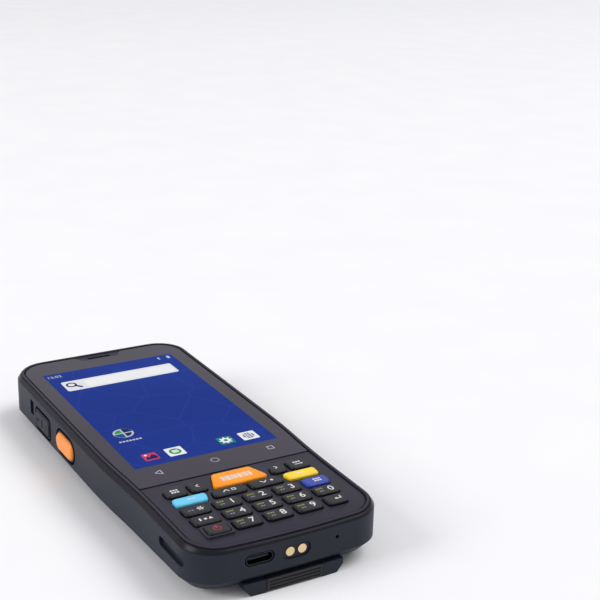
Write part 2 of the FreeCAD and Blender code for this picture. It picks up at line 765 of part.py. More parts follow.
def cover_glass():
    body = prism(PANEL_INSET, GLASS_BASE, GLASS_TOP)
    body = body.common(block(-FAR, FAR, GLASS_BOTTOM, FAR, 0, FAR))
    notch = extrude(rounded_polygon(tab_plan(GLASS_GAP), 1.0), 0, FAR)
    return body.cut(notch)


def display_module():
    plan = place(rounded_rect(DISPLAY_WIDTH, DISPLAY_LENGTH, 0.8), 0, DISPLAY_CENTRE)
    return extrude(plan, GLASS_BASE - DISPLAY_DEPTH, GLASS_BASE)


def keypad_plan(inset):
    plan = outline(WALL + CLEARANCE + SKIRT_WALL + inset)
    return plan.common(polygon([(-FAR, -FAR), (FAR, -FAR), (FAR, KEYPAD_TOP), (-FAR, KEYPAD_TOP)]))


def keypad_mat():
    mat = extrude(keypad_plan(0.2), BOARD_TOP, MAT_TOP - DOME_RISE)
    for points in KEYS.values():
        mat = mat.fuse(extrude(polygon(grown(points, -1.2)), BOARD_TOP, MAT_TOP))
    return mat


def keypad_board():
    board = extrude(keypad_plan(0.2), BOARD_TOP - BOARD_THICKNESS, BOARD_TOP)
    half = USB_WIDTH / 2.0 + 0.4
    return board.cut(block(USB_X - half, USB_X + half, -HALF, USB_LENGTH + 1.0 - HALF, 0, FAR))


def main_board():
    plan = prism(WALL + 0.6, MAIN_FLOOR, MAIN_FLOOR + MAIN_BOARD_THICKNESS)
    foot = -HALF + WALL + MIC_DEPTH + 0.8
    plan = plan.common(block(-24.0, 24.0, foot, 24.0, 0, FAR))
    chips = []
    for x, y, w, l, h in ((-10, 4, 14, 14, 1.4), (9, 6, 12, 10, 1.2), (-8, -22, 16, 12, 1.6)):
        chips.append(
            block(
                x - w / 2.0,
                x + w / 2.0,
                y - l / 2.0,
                y + l / 2.0,
                MAIN_FLOOR + MAIN_BOARD_THICKNESS - 0.2,
                MAIN_FLOOR + MAIN_BOARD_THICKNESS + h,
            )
        )
    return plan.fuse(chips)


def battery():
    plan = rounded_rect(BAY_WIDTH - 2 * BAY_FIT, BAY_LENGTH - 2 * BAY_FIT, 1.5)
    return extrude(place(plan, 0, BAY_CENTRE), COVER_THICKNESS + SEAT, BATTERY_TOP)


def battery_cover():
    thick = extrude(cover_plan(0), 0.0, TONGUE_THICKNESS)
    low = [e for e in thick.Edges if e.BoundBox.ZMax < 0.01]
    thick = thick.makeChamfer(COVER_BEVEL_RISE, COVER_BEVEL_WIDTH, low)
    hollow = block(-FAR, FAR, TONGUE_BACK, FAR, COVER_THICKNESS, FAR)
    body = thick.cut(hollow).common(prism(0, -1.0, FAR))
    for piece in tab_pockets(0.0, COVER_THICKNESS + 0.3 + HINGE_TAB_THICKNESS):
        body = body.fuse(piece)
    body = body.cut(latch_box(0.15, LATCH_TRAVEL))
    rails = latch_rails(0.12, LATCH_TRAVEL + 0.3)
    for rail in rails:
        body = body.cut(rail)
    return body


def latch_rails(margin, travel):
    pieces = []
    for side in (-1, 1):
        x = side * LATCH_WIDTH / 2.0
        half = LATCH_RAIL + margin
        mid = LATCH_HEIGHT * 0.55
        pieces.append(
            block(
                x - half,
                x + half,
                -HALF + 0.9 - margin,
                -HALF + LATCH_DEPTH - 0.9 + travel + margin,
                mid - LATCH_RAIL / 2.0 - margin,
                mid + LATCH_RAIL / 2.0 + margin,
            )
        )
    return pieces


def battery_latch():
    half = LATCH_WIDTH / 2.0
    front = -HALF
    body = block(-half, half, front, front + LATCH_DEPTH - 0.4, 0.0, LATCH_HEIGHT - 0.05)
    ribs = int((LATCH_HEIGHT - 0.6) / LATCH_RIB_PITCH)
    for i in range(ribs):
        z = 0.6 + (i + 0.5) * LATCH_RIB_PITCH
        body = body.cut(
            block(-half + 0.8, half - 0.8, front - 1.0, front + LATCH_RIB_DEPTH, z - 0.28, z + 0.28)
        )
    low = [e for e in body.Edges if e.BoundBox.ZMax < 0.01 and e.Length > half]
    body = body.makeChamfer(0.5, low)
    for rail in latch_rails(0.0, 0.0):
        body = body.fuse(rail)
    return body


def trigger(side):
    outer = HEAD_WIDTH / 2.0 + TRIGGER_PROUD
    inner = HEAD_WIDTH / 2.0 - WALL - SEAT - BUTTON_FLANGE_THICKNESS
    cap = sideways(
        rounded_rect(TRIGGER_LENGTH, TRIGGER_WIDTH, TRIGGER_WIDTH),
        inner,
        TRIGGER_Y,
        TRIGGER_Z,
        outer - inner,
    )
    rim = [e for e in cap.Edges if e.BoundBox.XMin > outer - 0.01]
    cap = cap.makeChamfer(BUTTON_BEVEL, rim)
    flange = sideways(
        rounded_rect(
            TRIGGER_LENGTH + 2 * BUTTON_FLANGE, TRIGGER_WIDTH + 2 * BUTTON_FLANGE, TRIGGER_WIDTH
        ),
        inner,
        TRIGGER_Y,
        TRIGGER_Z,
        BUTTON_FLANGE_THICKNESS,
    )
    whole = cap.fuse(flange)
    if side < 0:
        whole = whole.mirror(V(0, 0, 0), V(1, 0, 0))
    return whole


def volume_rocker():
    outer = -HEAD_WIDTH / 2.0 - ROCKER_PROUD
    inner = -HEAD_WIDTH / 2.0 + WALL + 0.4 + BUTTON_FLANGE_THICKNESS
    cap = sideways(
        rounded_rect(ROCKER_LENGTH, ROCKER_WIDTH, 1.5), outer, ROCKER_Y, ROCKER_Z, inner - outer
    )
    rim = [e for e in cap.Edges if e.BoundBox.XMax < outer + 0.01]
    cap = cap.makeChamfer(ROCKER_PROUD * 0.8, rim)
    flange = sideways(
        rounded_rect(ROCKER_LENGTH + 1.0, ROCKER_WIDTH + 1.0, 1.8),
        inner - BUTTON_FLANGE_THICKNESS,
        ROCKER_Y,
        ROCKER_Z,
        BUTTON_FLANGE_THICKNESS,
    )
    return cap.fuse(flange)


def side_switches():
    """Small switches behind the triggers and the rocker, on upright strips."""
    pieces = []
    for side in (-1, 1):
        inner = HEAD_WIDTH / 2.0 - WALL - SEAT - BUTTON_FLANGE_THICKNESS - TRIGGER_TRAVEL - 0.1
        back = inner - 0.6
        strip_low = TRIGGER_Z - TRIGGER_WIDTH / 2.0 - BUTTON_FLANGE - 0.3
        xs = sorted((side * back, side * (back - 0.8)))
        strip = block(xs[0], xs[1], TRIGGER_Y - 5.0, TRIGGER_Y + 5.0, strip_low, SKIRT_BASE - 0.3)
        xs = sorted((side * inner, side * (back - 0.2)))
        dome = block(xs[0], xs[1], TRIGGER_Y - 2.0, TRIGGER_Y + 2.0, TRIGGER_Z - 2.0, TRIGGER_Z + 2.0)
        pieces.append(strip.fuse(dome))
    x = -HEAD_WIDTH / 2.0 + WALL + 0.4 + BUTTON_FLANGE_THICKNESS
    strip = block(
        x + 1.1, x + 1.9, ROCKER_Y - 6.0, ROCKER_Y + 6.0, 5.2, SKIRT_BASE - 0.3
    )
    for y in (ROCKER_Y - 4.0, ROCKER_Y + 4.0):
        strip = strip.fuse(block(x + 0.5, x + 1.2, y - 1.4, y + 1.4, ROCKER_Z - 1.4, ROCKER_Z + 1.4))
    pieces.append(strip)
    return Part.makeCompound(pieces)


def usb_socket():
    shell = upright(
        rounded_rect(USB_WIDTH, USB_HEIGHT, 1.6), USB_X, 0.4 - HALF, USB_RISE, USB_LENGTH
    )
    bore = upright(
        rounded_rect(USB_WIDTH - 2 * USB_SHELL, USB_HEIGHT - 2 * USB_SHELL, 1.3),
        USB_X,
        -HALF,
        USB_RISE,
        USB_LENGTH - 0.6,
    )
    tongue = block(
        USB_X - 3.3, USB_X + 3.3, 1.4 - HALF, USB_LENGTH - HALF, USB_RISE - 0.35, USB_RISE + 0.35
    )
    return shell.cut(bore).fuse(tongue)


def contact_holder():
    plate = upright(
        rounded_rect(
            CONTACT_POCKET_WIDTH - 0.1, CONTACT_POCKET_HEIGHT - 0.1, CONTACT_POCKET_HEIGHT
        ),
        CONTACT_X,
        CONTACT_POCKET_DEPTH - HALF,
        CONTACT_RISE,
        1.6,
    )
    for pin in charge_contacts().Solids:
        plate = plate.cut(pin)
    return plate


def charge_contacts():
    pins = []
    for side in (-1, 1):
        x = CONTACT_X + side * CONTACT_SPACING / 2.0
        pin = Part.makeCylinder(
            CONTACT_RADIUS, 2.2, V(x, CONTACT_POCKET_DEPTH - 0.25 - HALF, CONTACT_RISE), V(0, 1, 0)
        )
        pins.append(pin)
    return Part.makeCompound(pins)


def microphone():
    front = WALL + 0.5 - HALF
    low = MAIN_FLOOR + 0.1
    return block(
        MIC_X - 1.6, MIC_X + 1.6, front, front + MIC_DEPTH, low, MIC_RISE + 1.2
    )


def scan_window():
    front = HALF - WINDOW_SUNK - WINDOW_THICKNESS
    plate = upright(
        rounded_rect(WINDOW_WIDTH, WINDOW_HEIGHT, 1.9), WINDOW_X, front, WINDOW_RISE, WINDOW_THICKNESS
    )
    edge = upright(
        rounded_rect(WINDOW_WIDTH + 2 * WINDOW_FLANGE, WINDOW_HEIGHT + 2 * WINDOW_FLANGE, 2.4),
        WINDOW_X,
        HALF - WALL - 0.8,
        WINDOW_RISE,
        0.8,
    )
    neck = upright(
        rounded_rect(WINDOW_WIDTH, WINDOW_HEIGHT, 1.9),
        WINDOW_X,
        HALF - WALL - 0.8,
        WINDOW_RISE,
        WALL + 0.8 - WINDOW_SUNK - WINDOW_THICKNESS,
    )
    return plate.fuse(neck).fuse(edge)


def scan_engine():
    front = HALF - WALL - 1.0
    low = HEAD_FLOOR + 1.8
    half = ENGINE_WIDTH / 2.0
    body = block(
        WINDOW_X - half, WINDOW_X + half, front - ENGINE_DEPTH, front, low, low + ENGINE_HEIGHT
    )
    for x, r in ((-5.0, 2.4), (5.0, 1.6)):
        body = body.cut(
            Part.makeCylinder(r, 1.5, V(WINDOW_X + x, front - 1.5, WINDOW_RISE), V(0, 1, 0))
        )
    foot = block(
        WINDOW_X - half + 2, WINDOW_X + half - 2, front - ENGINE_DEPTH + 2, front - 3, HEAD_FLOOR, low
    )
    return body.fuse(foot)


def round_lens(x, radius, depth):
    return Part.makeCylinder(radius, depth, V(x, HUMP_Y, LENS_SUNK))


def camera_module():
    low = HEAD_FLOOR + 0.05
    body = block(CAMERA_X - 5.5, CAMERA_X + 5.5, HUMP_Y - 5.5, HUMP_Y + 5.5, low, low + 4.2)
    return body


def speaker():
    low = HEAD_FLOOR + 0.05
    w = SPEAKER_WIDTH / 2.0
    half = SPEAKER_LENGTH / 2.0
    return block(SPEAKER_X - half, SPEAKER_X + half, HUMP_Y - w, HUMP_Y + w, low, low + SPEAKER_HEIGHT)


def receiver():
    top = GLASS_BASE - 1.3
    return block(-6.0, 6.0, EAR_SLOT_Y - 2.6, EAR_SLOT_Y + 1.0, top - 2.4, top)


def battery_pad():
    """Foam sheet between the battery and the bay's ceiling."""
    half_width = BAY_WIDTH / 2.0 - 0.05
    half_length = BAY_LENGTH / 2.0 - 0.05
    return block(
        -half_width,
        half_width,
        BAY_CENTRE - half_length,
        BAY_CENTRE + half_length,
        CEILING_BASE - PAD_THICKNESS,
        CEILING_BASE,
    )


for key_name, key_points in KEYS.items():
    save(make_key(key_points), key_name)
save(front_housing(), "front_housing")
save(side_band(), "side_band")
save(rear_housing(), "rear_housing")
save(cover_glass(), "cover_glass")
save(display_module(), "display_module")
save(keypad_mat(), "keypad_mat")
save(keypad_board(), "keypad_board")
save(main_board(), "main_board")
save(battery(), "battery")
save(battery_pad(), "battery_pad")
save(battery_cover(), "battery_cover")
save(battery_latch(), "battery_latch")
save(trigger(-1), "left_trigger")
save(trigger(1), "right_trigger")
save(volume_rocker(), "volume_rocker")
save(side_switches(), "side_switches")
save(usb_socket(), "usb_socket")
save(contact_holder(), "contact_holder")
save(charge_contacts(), "charge_contacts")
save(microphone(), "microphone")
save(scan_window(), "scan_window")
save(scan_engine(), "scan_engine")
save(round_lens(CAMERA_X, CAMERA_RADIUS, HEAD_FLOOR - LENS_SUNK), "camera_lens")
save(round_lens(FLASH_X, FLASH_RADIUS, HEAD_FLOOR - LENS_SUNK), "flash_lens")
save(camera_module(), "camera_module")
save(speaker(), "speaker")
save(receiver(), "receiver")
save(screws(), "housing_screws")
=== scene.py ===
"""Looks of a handheld barcode data terminal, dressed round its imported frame.

The frame is in metres and lies on its back: X runs to the right of the screen, Y towards
the earpiece end and Z out of the screen.
"""

import json
import logging
import math
from dataclasses import dataclass, field
from enum import Enum
from typing import Any, Iterable, Sequence

import bmesh
import bpy
from mathutils import Matrix, Vector

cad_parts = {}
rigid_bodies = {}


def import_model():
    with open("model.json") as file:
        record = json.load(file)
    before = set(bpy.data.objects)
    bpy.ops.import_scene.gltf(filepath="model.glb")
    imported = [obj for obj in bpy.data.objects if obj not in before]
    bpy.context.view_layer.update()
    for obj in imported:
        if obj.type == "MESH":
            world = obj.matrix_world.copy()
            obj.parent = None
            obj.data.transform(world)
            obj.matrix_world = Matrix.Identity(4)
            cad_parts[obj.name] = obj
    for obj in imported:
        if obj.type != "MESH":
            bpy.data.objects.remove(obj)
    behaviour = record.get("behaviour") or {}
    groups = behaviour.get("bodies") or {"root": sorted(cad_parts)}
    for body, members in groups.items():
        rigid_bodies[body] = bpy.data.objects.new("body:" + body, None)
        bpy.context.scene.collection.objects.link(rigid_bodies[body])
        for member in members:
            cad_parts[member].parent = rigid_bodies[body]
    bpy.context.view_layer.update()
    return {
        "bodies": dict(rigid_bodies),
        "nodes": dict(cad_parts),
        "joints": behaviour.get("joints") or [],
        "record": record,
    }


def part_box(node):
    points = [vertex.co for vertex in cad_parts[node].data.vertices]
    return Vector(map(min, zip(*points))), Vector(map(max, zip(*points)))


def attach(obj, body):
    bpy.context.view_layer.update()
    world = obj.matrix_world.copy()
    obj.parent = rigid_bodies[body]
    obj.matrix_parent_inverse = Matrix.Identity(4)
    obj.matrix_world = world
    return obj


Point = tuple[float, float]
Place = tuple[float, float, float]
Outline = list[Point]
Material = bpy.types.Material
Socket = bpy.types.NodeSocket
Look = tuple[dict[str, Any], dict[str, Socket]]

LOG = logging.getLogger("terminal")
MM = 0.001
HOUSING = "housing"

# Thickness of printed layers, in millimetres. Neighbours differ by a step, so that none
# flickers in another.
PRINT_LIFT = 0.012
PRINT_STEP = 0.004
PRINT_LEVELS = 3
SIDE_LIFT = 0.02
FIGURE_HALF = 0.008

# Height of a digit in the built-in font, for a font size of 1.
DIGIT_SHARE = 0.69
FONT_STEPS = 4

# Where a noise turns from the first shade to the second.
BLEND_SPAN = (0.35, 0.65)
EDGE_SAMPLES = 4

# Glass, the binder of ink and the fibre of paper all come near this.
COMMON_IOR = 1.5


def linear(shade: str) -> tuple[float, float, float, float]:
    """Turns an sRGB hex colour to linear light.

    Args:
        shade: Six hex digits, such as "2B3C88".

    Returns:
        Red, green, blue and an alpha of 1.
    """
    channels = [int(shade[i : i + 2], 16) / 255.0 for i in (0, 2, 4)]
    light = [c / 12.92 if c <= 0.04045 else ((c + 0.055) / 1.055) ** 2.4 for c in channels]
    return (light[0], light[1], light[2], 1.0)


def per_metre(size_mm: float) -> float:
    """Scale of a pattern whose features are size_mm apart, in object space."""
    return 1.0 / (size_mm * MM)


def add_node(
    material: Material | bpy.types.World,
    kind: str,
    values: dict[str, Any] | None = None,
    links: dict[str | int, Socket] | None = None,
    **settings: Any,
) -> bpy.types.Node:
    """Adds a shader node with its settings, values and links.

    Args:
        material: The material or world that gets the node.
        kind: Blender's name of the node's type.
        values: Input name to the constant that it holds.
        links: Input name or number to the output socket that feeds it.
        settings: Properties of the node itself.

    Returns:
        The new node.
    """
    node = material.node_tree.nodes.new(kind)
    for key, value in settings.items():
        setattr(node, key, value)
    for socket, value in (values or {}).items():
        node.inputs[socket].default_value = value
    for socket, source in (links or {}).items():
        material.node_tree.links.new(source, node.inputs[socket])
    return node


def grained_edge(
    material: Material, radius_mm: float, grain: Socket, strength: float, depth_mm: float
) -> Socket:
    """Rounds a mesh's edges for the eye and presses a grain into its faces.

    Args:
        material: The material that gets the nodes.
        radius_mm: Radius of the edges.
        grain: Height of the grain, from 0 to 1.
        strength: How strongly the grain shows.
        depth_mm: How deep it is.

    Returns:
        The normal.
    """
    radius = {"Radius": radius_mm * MM}
    edge = add_node(material, "ShaderNodeBevel", radius, samples=EDGE_SAMPLES)
    bump = add_node(
        material,
        "ShaderNodeBump",
        {"Strength": strength, "Distance": depth_mm * MM},
        {"Height": grain, "Normal": edge.outputs["Normal"]},
    )
    return bump.outputs["Normal"]


@dataclass(frozen=True)
class Finish:
    """A named surface whose colour runs between two shades, given as sRGB hex."""

    name: str
    shade: str
    second_shade: str

    def build(self) -> Material:
        """Builds the material.

        Returns:
            The material, ready to be assigned.
        """
        material = bpy.data.materials.new(self.name)
        material.use_nodes = True
        material.node_tree.nodes.clear()
        place = add_node(material, "ShaderNodeTexCoord").outputs["Object"]
        values, links = self.look(material, place)
        shader = add_node(material, "ShaderNodeBsdfPrincipled", values, links)
        add_node(material, "ShaderNodeOutputMaterial", None, {"Surface": shader.outputs["BSDF"]})
        return material

    def look(self, material: Material, place: Socket) -> Look:
        """Adds the nodes that make the surface, in each finish in its own way.

        Args:
            material: What gets them.
            place: The object's coordinates.

        Returns:
            The shader's constants and links.
        """
        raise NotImplementedError

    def blend(
        self, material: Material, place: Socket, size_mm: float, detail: float = 2.0
    ) -> tuple[Socket, Socket]:
        """Blends the two shades by a noise.

        Args:
            material: The material that gets the nodes.
            place: Where each point lies.
            size_mm: Distance between the noise's features.
            detail: Its number of finer layers.

        Returns:
            The noise, from 0 to 1, and the blended colour.
        """
        values = {"Scale": per_metre(size_mm), "Detail": detail}
        noise = add_node(material, "ShaderNodeTexNoise", values, {"Vector": place}).outputs["Fac"]
        ramp = add_node(material, "ShaderNodeValToRGB", None, {"Fac": noise})
        shades = (self.shade, self.second_shade)
        for element, shade, stop in zip(ramp.color_ramp.elements, shades, BLEND_SPAN):
            element.position = stop
            element.color = linear(shade)
        return noise, ramp.outputs["Color"]


class ToolFinish(Enum):
    """How strongly the tool's surface shows on a moulding, as a bump strength."""

    SPARK_ERODED = 0.5
    SATIN = 0.25
    POLISHED = 0.04


@dataclass(frozen=True)
class MouldedPlastic(Finish):
    """Injection-moulded plastic or rubber.

    The tool's grain spreads the highlight, faint clouds of colour and gloss show the melt's
    flow, and rounded edges catch a thin line of light. Real grain is under 0.1 mm, too fine
    to show, so it is drawn coarser.
    """

    tool: ToolFinish
    roughness: float
    grain_mm: float = 0.4
    cloud_mm: float = 9.0
    edge_mm: float = 0.35
    ior: float = 1.49
    specular: float = 0.5
    cloud_detail: float = 3.0
    gloss_spread: float = 0.1
    grain_depth_mm: float = 0.03

    def look(self, material: Material, place: Socket) -> Look:
        """Adds the clouds, the grain and the rounded edges.

        Args:
            material: What gets them.
            place: The object's coordinates.

        Returns:
            The shader's constants and links.
        """
        clouds, colour = self.blend(material, place, self.cloud_mm, self.cloud_detail)
        glossy = self.roughness * (1.0 - self.gloss_spread)
        dull = min(1.0, self.roughness * (1.0 + self.gloss_spread))
        gloss = add_node(
            material, "ShaderNodeMapRange", {"To Min": glossy, "To Max": dull}, {"Value": clouds}
        )
        fine = {"Scale": per_metre(self.grain_mm)}
        grain = add_node(material, "ShaderNodeTexNoise", fine, {"Vector": place})
        normal = grained_edge(
            material, self.edge_mm, grain.outputs["Fac"], self.tool.value, self.grain_depth_mm
        )
        links = {"Base Color": colour, "Roughness": gloss.outputs["Result"], "Normal": normal}
        return {"IOR": self.ior, "Specular IOR Level": self.specular}, links


@dataclass(frozen=True)
class PlatedMetal(Finish):
    """Drawn, plated or cast metal: a bright face broken by fine lines.

    Real lines are under 0.05 mm apart, too fine to show, so they are drawn coarser.
    """

    roughness: float
    line_mm: float = 0.25
    line_stretch: float = 0.08
    line_strength: float = 0.15
    line_depth_mm: float = 0.01
    edge_mm: float = 0.15

    def look(self, material: Material, place: Socket) -> Look:
        """Adds the lines and the rounded edges.

        Args:
            material: What gets them.
            place: The object's coordinates.

        Returns:
            The shader's constants and links.
        """
        scale = {"Scale": (1.0, self.line_stretch, 1.0)}
        drawn = add_node(material, "ShaderNodeMapping", scale, {"Vector": place})
        lines, colour = self.blend(material, drawn.outputs["Vector"], self.line_mm)
        normal = grained_edge(material, self.edge_mm, lines, self.line_strength, self.line_depth_mm)
        values = {"Metallic": 1.0, "Roughness": self.roughness}
        return values, {"Base Color": colour, "Normal": normal}


@dataclass(frozen=True)
class LitPixels(Finish):
    """One colour of the display, lit from behind, with the faint unevenness of its lamp."""

    strength: float = 0.9
    dark_shade: str = "0A0A0C"
    lamp_mm: float = 6.0
    lamp_detail: float = 2.0
    mirror: float = 0.1
    polish: float = 0.04

    def look(self, material: Material, place: Socket) -> Look:
        """Adds the lamp's unevenness.

        Args:
            material: What gets it.
            place: The object's coordinates.

        Returns:
            The shader's constants and links.
        """
        _, light = self.blend(material, place, self.lamp_mm, self.lamp_detail)
        values = {
            "IOR": COMMON_IOR,
            "Roughness": self.polish,
            "Specular IOR Level": 0.0,
            "Coat Weight": self.mirror,
            "Coat Roughness": self.polish,
            "Emission Strength": self.strength,
            "Base Color": linear(self.dark_shade),
        }
        return values, {"Emission Color": light}


@dataclass(frozen=True)
class LitDisplay(LitPixels):
    """Lit liquid-crystal panel behind the glass, with a wallpaper of faint folded lines."""

    strength: float = 1.0
    dark_shade: str = "060710"
    lamp_mm: float = 70.0
    lamp_detail: float = 0.0
    line_shade: str = "5A74CC"
    line_share: float = 0.06
    line_reach: float = 0.035
    cell_mm: float = 17.0

    def look(self, material: Material, place: Socket) -> Look:
        """Draws the wallpaper's lines over the lit ground.

        Args:
            material: What gets them.
            place: The object's coordinates.

        Returns:
            The shader's constants and links.
        """
        values, links = super().look(material, place)
        cells = add_node(
            material,
            "ShaderNodeTexVoronoi",
            {"Scale": per_metre(self.cell_mm)},
            {"Vector": place},
            feature="DISTANCE_TO_EDGE",
            voronoi_dimensions="2D",
        )
        fade = {"From Max": self.line_reach, "To Min": self.line_share, "To Max": 0.0}
        line = add_node(material, "ShaderNodeMapRange", fade, {"Value": cells.outputs["Distance"]})
        picture = add_node(
            material,
            "ShaderNodeMixRGB",
            {"Color2": linear(self.line_shade)},
            {"Fac": line.outputs["Result"], "Color1": links["Emission Color"]},
        )
        return values, {"Emission Color": picture.outputs["Color"]}


@dataclass(frozen=True)
class EvenFace(Finish):
    """A face of one even tone, with faint marks of how it was made."""

    roughness: float
    specular: float
    mark_mm: float
    mark_detail: float = 2.0
    edge_mm: float = 0.0

    def look(self, material: Material, place: Socket) -> Look:
        """Adds the marks and, where the face has them, rounded edges.

        Args:
            material: What gets them.
            place: The object's coordinates.

        Returns:
            The shader's constants and links.
        """
        values = {
            "IOR": COMMON_IOR,
            "Roughness": self.roughness,
            "Specular IOR Level": self.specular,
        }
        links = {"Base Color": self.blend(material, place, self.mark_mm, self.mark_detail)[1]}
        if self.edge_mm > 0.0:
            radius = {"Radius": self.edge_mm * MM}
            edge = add_node(material, "ShaderNodeBevel", radius, samples=EDGE_SAMPLES)
            links["Normal"] = edge.outputs["Normal"]
        return values, links


@dataclass(frozen=True)
class PrintedGlass(EvenFace):
    """Glass or clear acrylic, dyed or printed dark on its back.

    The print shows through as a deep even tone, and the polished face mirrors the room.
    """

    roughness: float = 0.04
    specular: float = 0.13
    mark_mm: float = 38.0
    mark_detail: float = 1.0
    edge_mm: float = 0.25


@dataclass(frozen=True)
class PrintedInk(EvenFace):
    """Screen-printed ink: a flat dry coat with the mesh's pinholes in it.

    The real mesh is near 0.1 mm, too fine to show, so it is drawn coarser.
    """

    roughness: float = 0.6
    specular: float = 0.25
    mark_mm: float = 0.3


@dataclass(frozen=True)
class Paper(EvenFace):
    """Pale card, with the faintest mottle."""

    roughness: float = 0.9
    specular: float = 0.1
    mark_mm: float = 40.0


# Glass-filled polycarbonate blend, spark-eroded tool: a dry, even charcoal with a blue cast.
HOUSING_PLASTIC = MouldedPlastic(
    "polycarbonate_blend_spark_eroded", "211F2D", "252332", ToolFinish.SPARK_ERODED, 0.48,
    specular=0.22,
)
# Thermoplastic elastomer moulded over the housing's edge: near black, partly the rubber's own darker
# tone and partly painted shade.
BAND_RUBBER_AND_SHADE = MouldedPlastic(
    "elastomer_dark_and_painted_shade", "12111A", "15141E", ToolFinish.SATIN, 0.3, edge_mm=0.8, ior=1.46,
    specular=0.16,
)
# The same blend in a darker, bluer copy for the rear parts: its long walls read as dark navy, and
# that navy is painted shade.
REAR_PLASTIC_PAINTED_SHADE = MouldedPlastic(
    "polycarbonate_blend_painted_shade", "1B1F2C", "1F2330", ToolFinish.SPARK_ERODED, 0.5,
    specular=0.24,
)
# Hard-coated silicone keys: near black, with a soft sheen on their rounded edges.
KEY_PLASTIC = MouldedPlastic(
    "silicone_key_hard_coated", "100F15", "131218", ToolFinish.SATIN, 0.36, 0.3, 5.0, 0.5,
    specular=0.25,
)
# Dyed polycarbonate keys: clear strong colour with a clean satin highlight.
ORANGE_KEY = MouldedPlastic(
    "orange_polycarbonate_satin", "FF9300", "FF9C08", ToolFinish.SATIN, 0.26, 0.3, 6.0, 0.6,
    specular=0.2,
)
# The same orange in the side triggers, whose tool rounds them well over.
ORANGE_TRIGGER = MouldedPlastic(
    "orange_polycarbonate_domed", "FF9026", "FF9830", ToolFinish.POLISHED, 0.3, 0.3, 6.0, 1.6,
    specular=0.5,
)
CYAN_KEY = MouldedPlastic(
    "cyan_polycarbonate_satin", "5CC4EA", "66CCF0", ToolFinish.SATIN, 0.26, 0.3, 6.0, 0.5,
    specular=0.35,
)
YELLOW_KEY = MouldedPlastic(
    "yellow_polycarbonate_satin", "F5CE00", "F8D608", ToolFinish.SATIN, 0.26, 0.3, 6.0, 0.5,
    specular=0.5,
)
BLUE_KEY = MouldedPlastic(
    "blue_polycarbonate_satin", "24389E", "2A40A8", ToolFinish.SATIN, 0.26, 0.3, 6.0, 0.5,
    specular=0.3,
)
# Strengthened glass with a dark violet print behind it: a mirror over a deep even tone.
BORDER_GLASS = PrintedGlass("strengthened_glass_back_printed", "322D3A", "37323F")
# Camera glass with a coated front: black with a hard small highlight.
LENS_GLASS = PrintedGlass("camera_glass_coated", "07070C", "0B0A14", 0.02, 0.3)
# Red-dyed acrylic over the scanner: nearly black, red only where light goes through.
SCAN_WINDOW = PrintedGlass("acrylic_dyed_dark_red", "16060A", "1E090D", 0.05, 0.25)
# Frosted acrylic over the flash: milky and soft.
FLASH_ACRYLIC = MouldedPlastic(
    "acrylic_frosted", "E9E4CF", "EFEBDA", ToolFinish.SATIN, 0.3, 0.3, 2.0, 0.2
)
# Moulded silicone sheet: flat grey with no gloss.
SILICONE = MouldedPlastic("silicone_moulded", "3C3C40", "424247", ToolFinish.SATIN, 0.65)
# Glass-epoxy board under green solder mask: dark green and lightly glossy.
BOARD = MouldedPlastic(
    "glass_epoxy_solder_masked", "0E3B26", "11452C", ToolFinish.POLISHED, 0.3, 0.5, 3.0, 0.1
)
# Polyester film shrunk round the battery: dull black with a soft shine.
BATTERY_FILM = MouldedPlastic(
    "polyester_film_shrunk", "1D1D20", "232327", ToolFinish.POLISHED, 0.35, 0.6, 12.0, 0.8
)
# Glass-filled nylon latch: darker and drier than the housing.
LATCH_NYLON = MouldedPlastic(
    "nylon_glass_filled_moulded", "0D0E13", "111218", ToolFinish.SPARK_ERODED, 0.55
)
# Steel sheet, drawn and blackened: a dark shell with fine drawing lines on its rim.
SOCKET_STEEL = PlatedMetal("steel_drawn_blackened", "3A3C40", "2C2E32", 0.4)
# Nickel plate under hard gold: warm, smooth and bright.
CONTACT_GOLD = PlatedMetal("hard_gold_plated", "EAD5A8", "DBC08E", 0.3)
# Zinc casting, blackened: dark with a metal edge.
ENGINE_METAL = PlatedMetal("zinc_cast_blackened", "56575C", "494A4F", 0.42)
# Alloy steel, black oxide: nearly black with an oily gleam.
SCREW_STEEL = PlatedMetal("steel_black_oxide", "3A3A3D", "2E2E31", 0.36)
# Lit liquid-crystal panel: deep blue light, even from edge to edge.
PANEL_LIGHT = LitDisplay("display_panel_lit", "142F86", "19358E")

# Nodes that look unlike the rest of their material slot; the rear parts wear a copy of the housing
# plastic with painted shade in its colour.
NODE_FINISHES: dict[str, Finish] = {
    "rear_housing": REAR_PLASTIC_PAINTED_SHADE,
    "battery_cover": REAR_PLASTIC_PAINTED_SHADE,
    "volume_rocker": REAR_PLASTIC_PAINTED_SHADE,
    "left_trigger": ORANGE_TRIGGER,
    "right_trigger": ORANGE_TRIGGER,
}

# The finish of every other node, by its material slot.
SLOT_FINISHES: dict[str, Finish] = {
    "housing_plastic": HOUSING_PLASTIC,
    "band_rubber": BAND_RUBBER_AND_SHADE,
    "key_plastic": KEY_PLASTIC,
    "orange_key_plastic": ORANGE_KEY,
    "cyan_key_plastic": CYAN_KEY,
    "yellow_key_plastic": YELLOW_KEY,
    "blue_key_plastic": BLUE_KEY,
    "cover_glass": BORDER_GLASS,
    "display_panel": PANEL_LIGHT,
    "silicone": SILICONE,
    "circuit_board": BOARD,
    "battery_wrap": BATTERY_FILM,
    "socket_steel": SOCKET_STEEL,
    "gold_contact": CONTACT_GOLD,
    "scan_window_plastic": SCAN_WINDOW,
    "engine_metal": ENGINE_METAL,
    "lens_glass": LENS_GLASS,
    "flash_plastic": FLASH_ACRYLIC,
    "screw_steel": SCREW_STEEL,
    "latch_plastic": LATCH_NYLON,
}


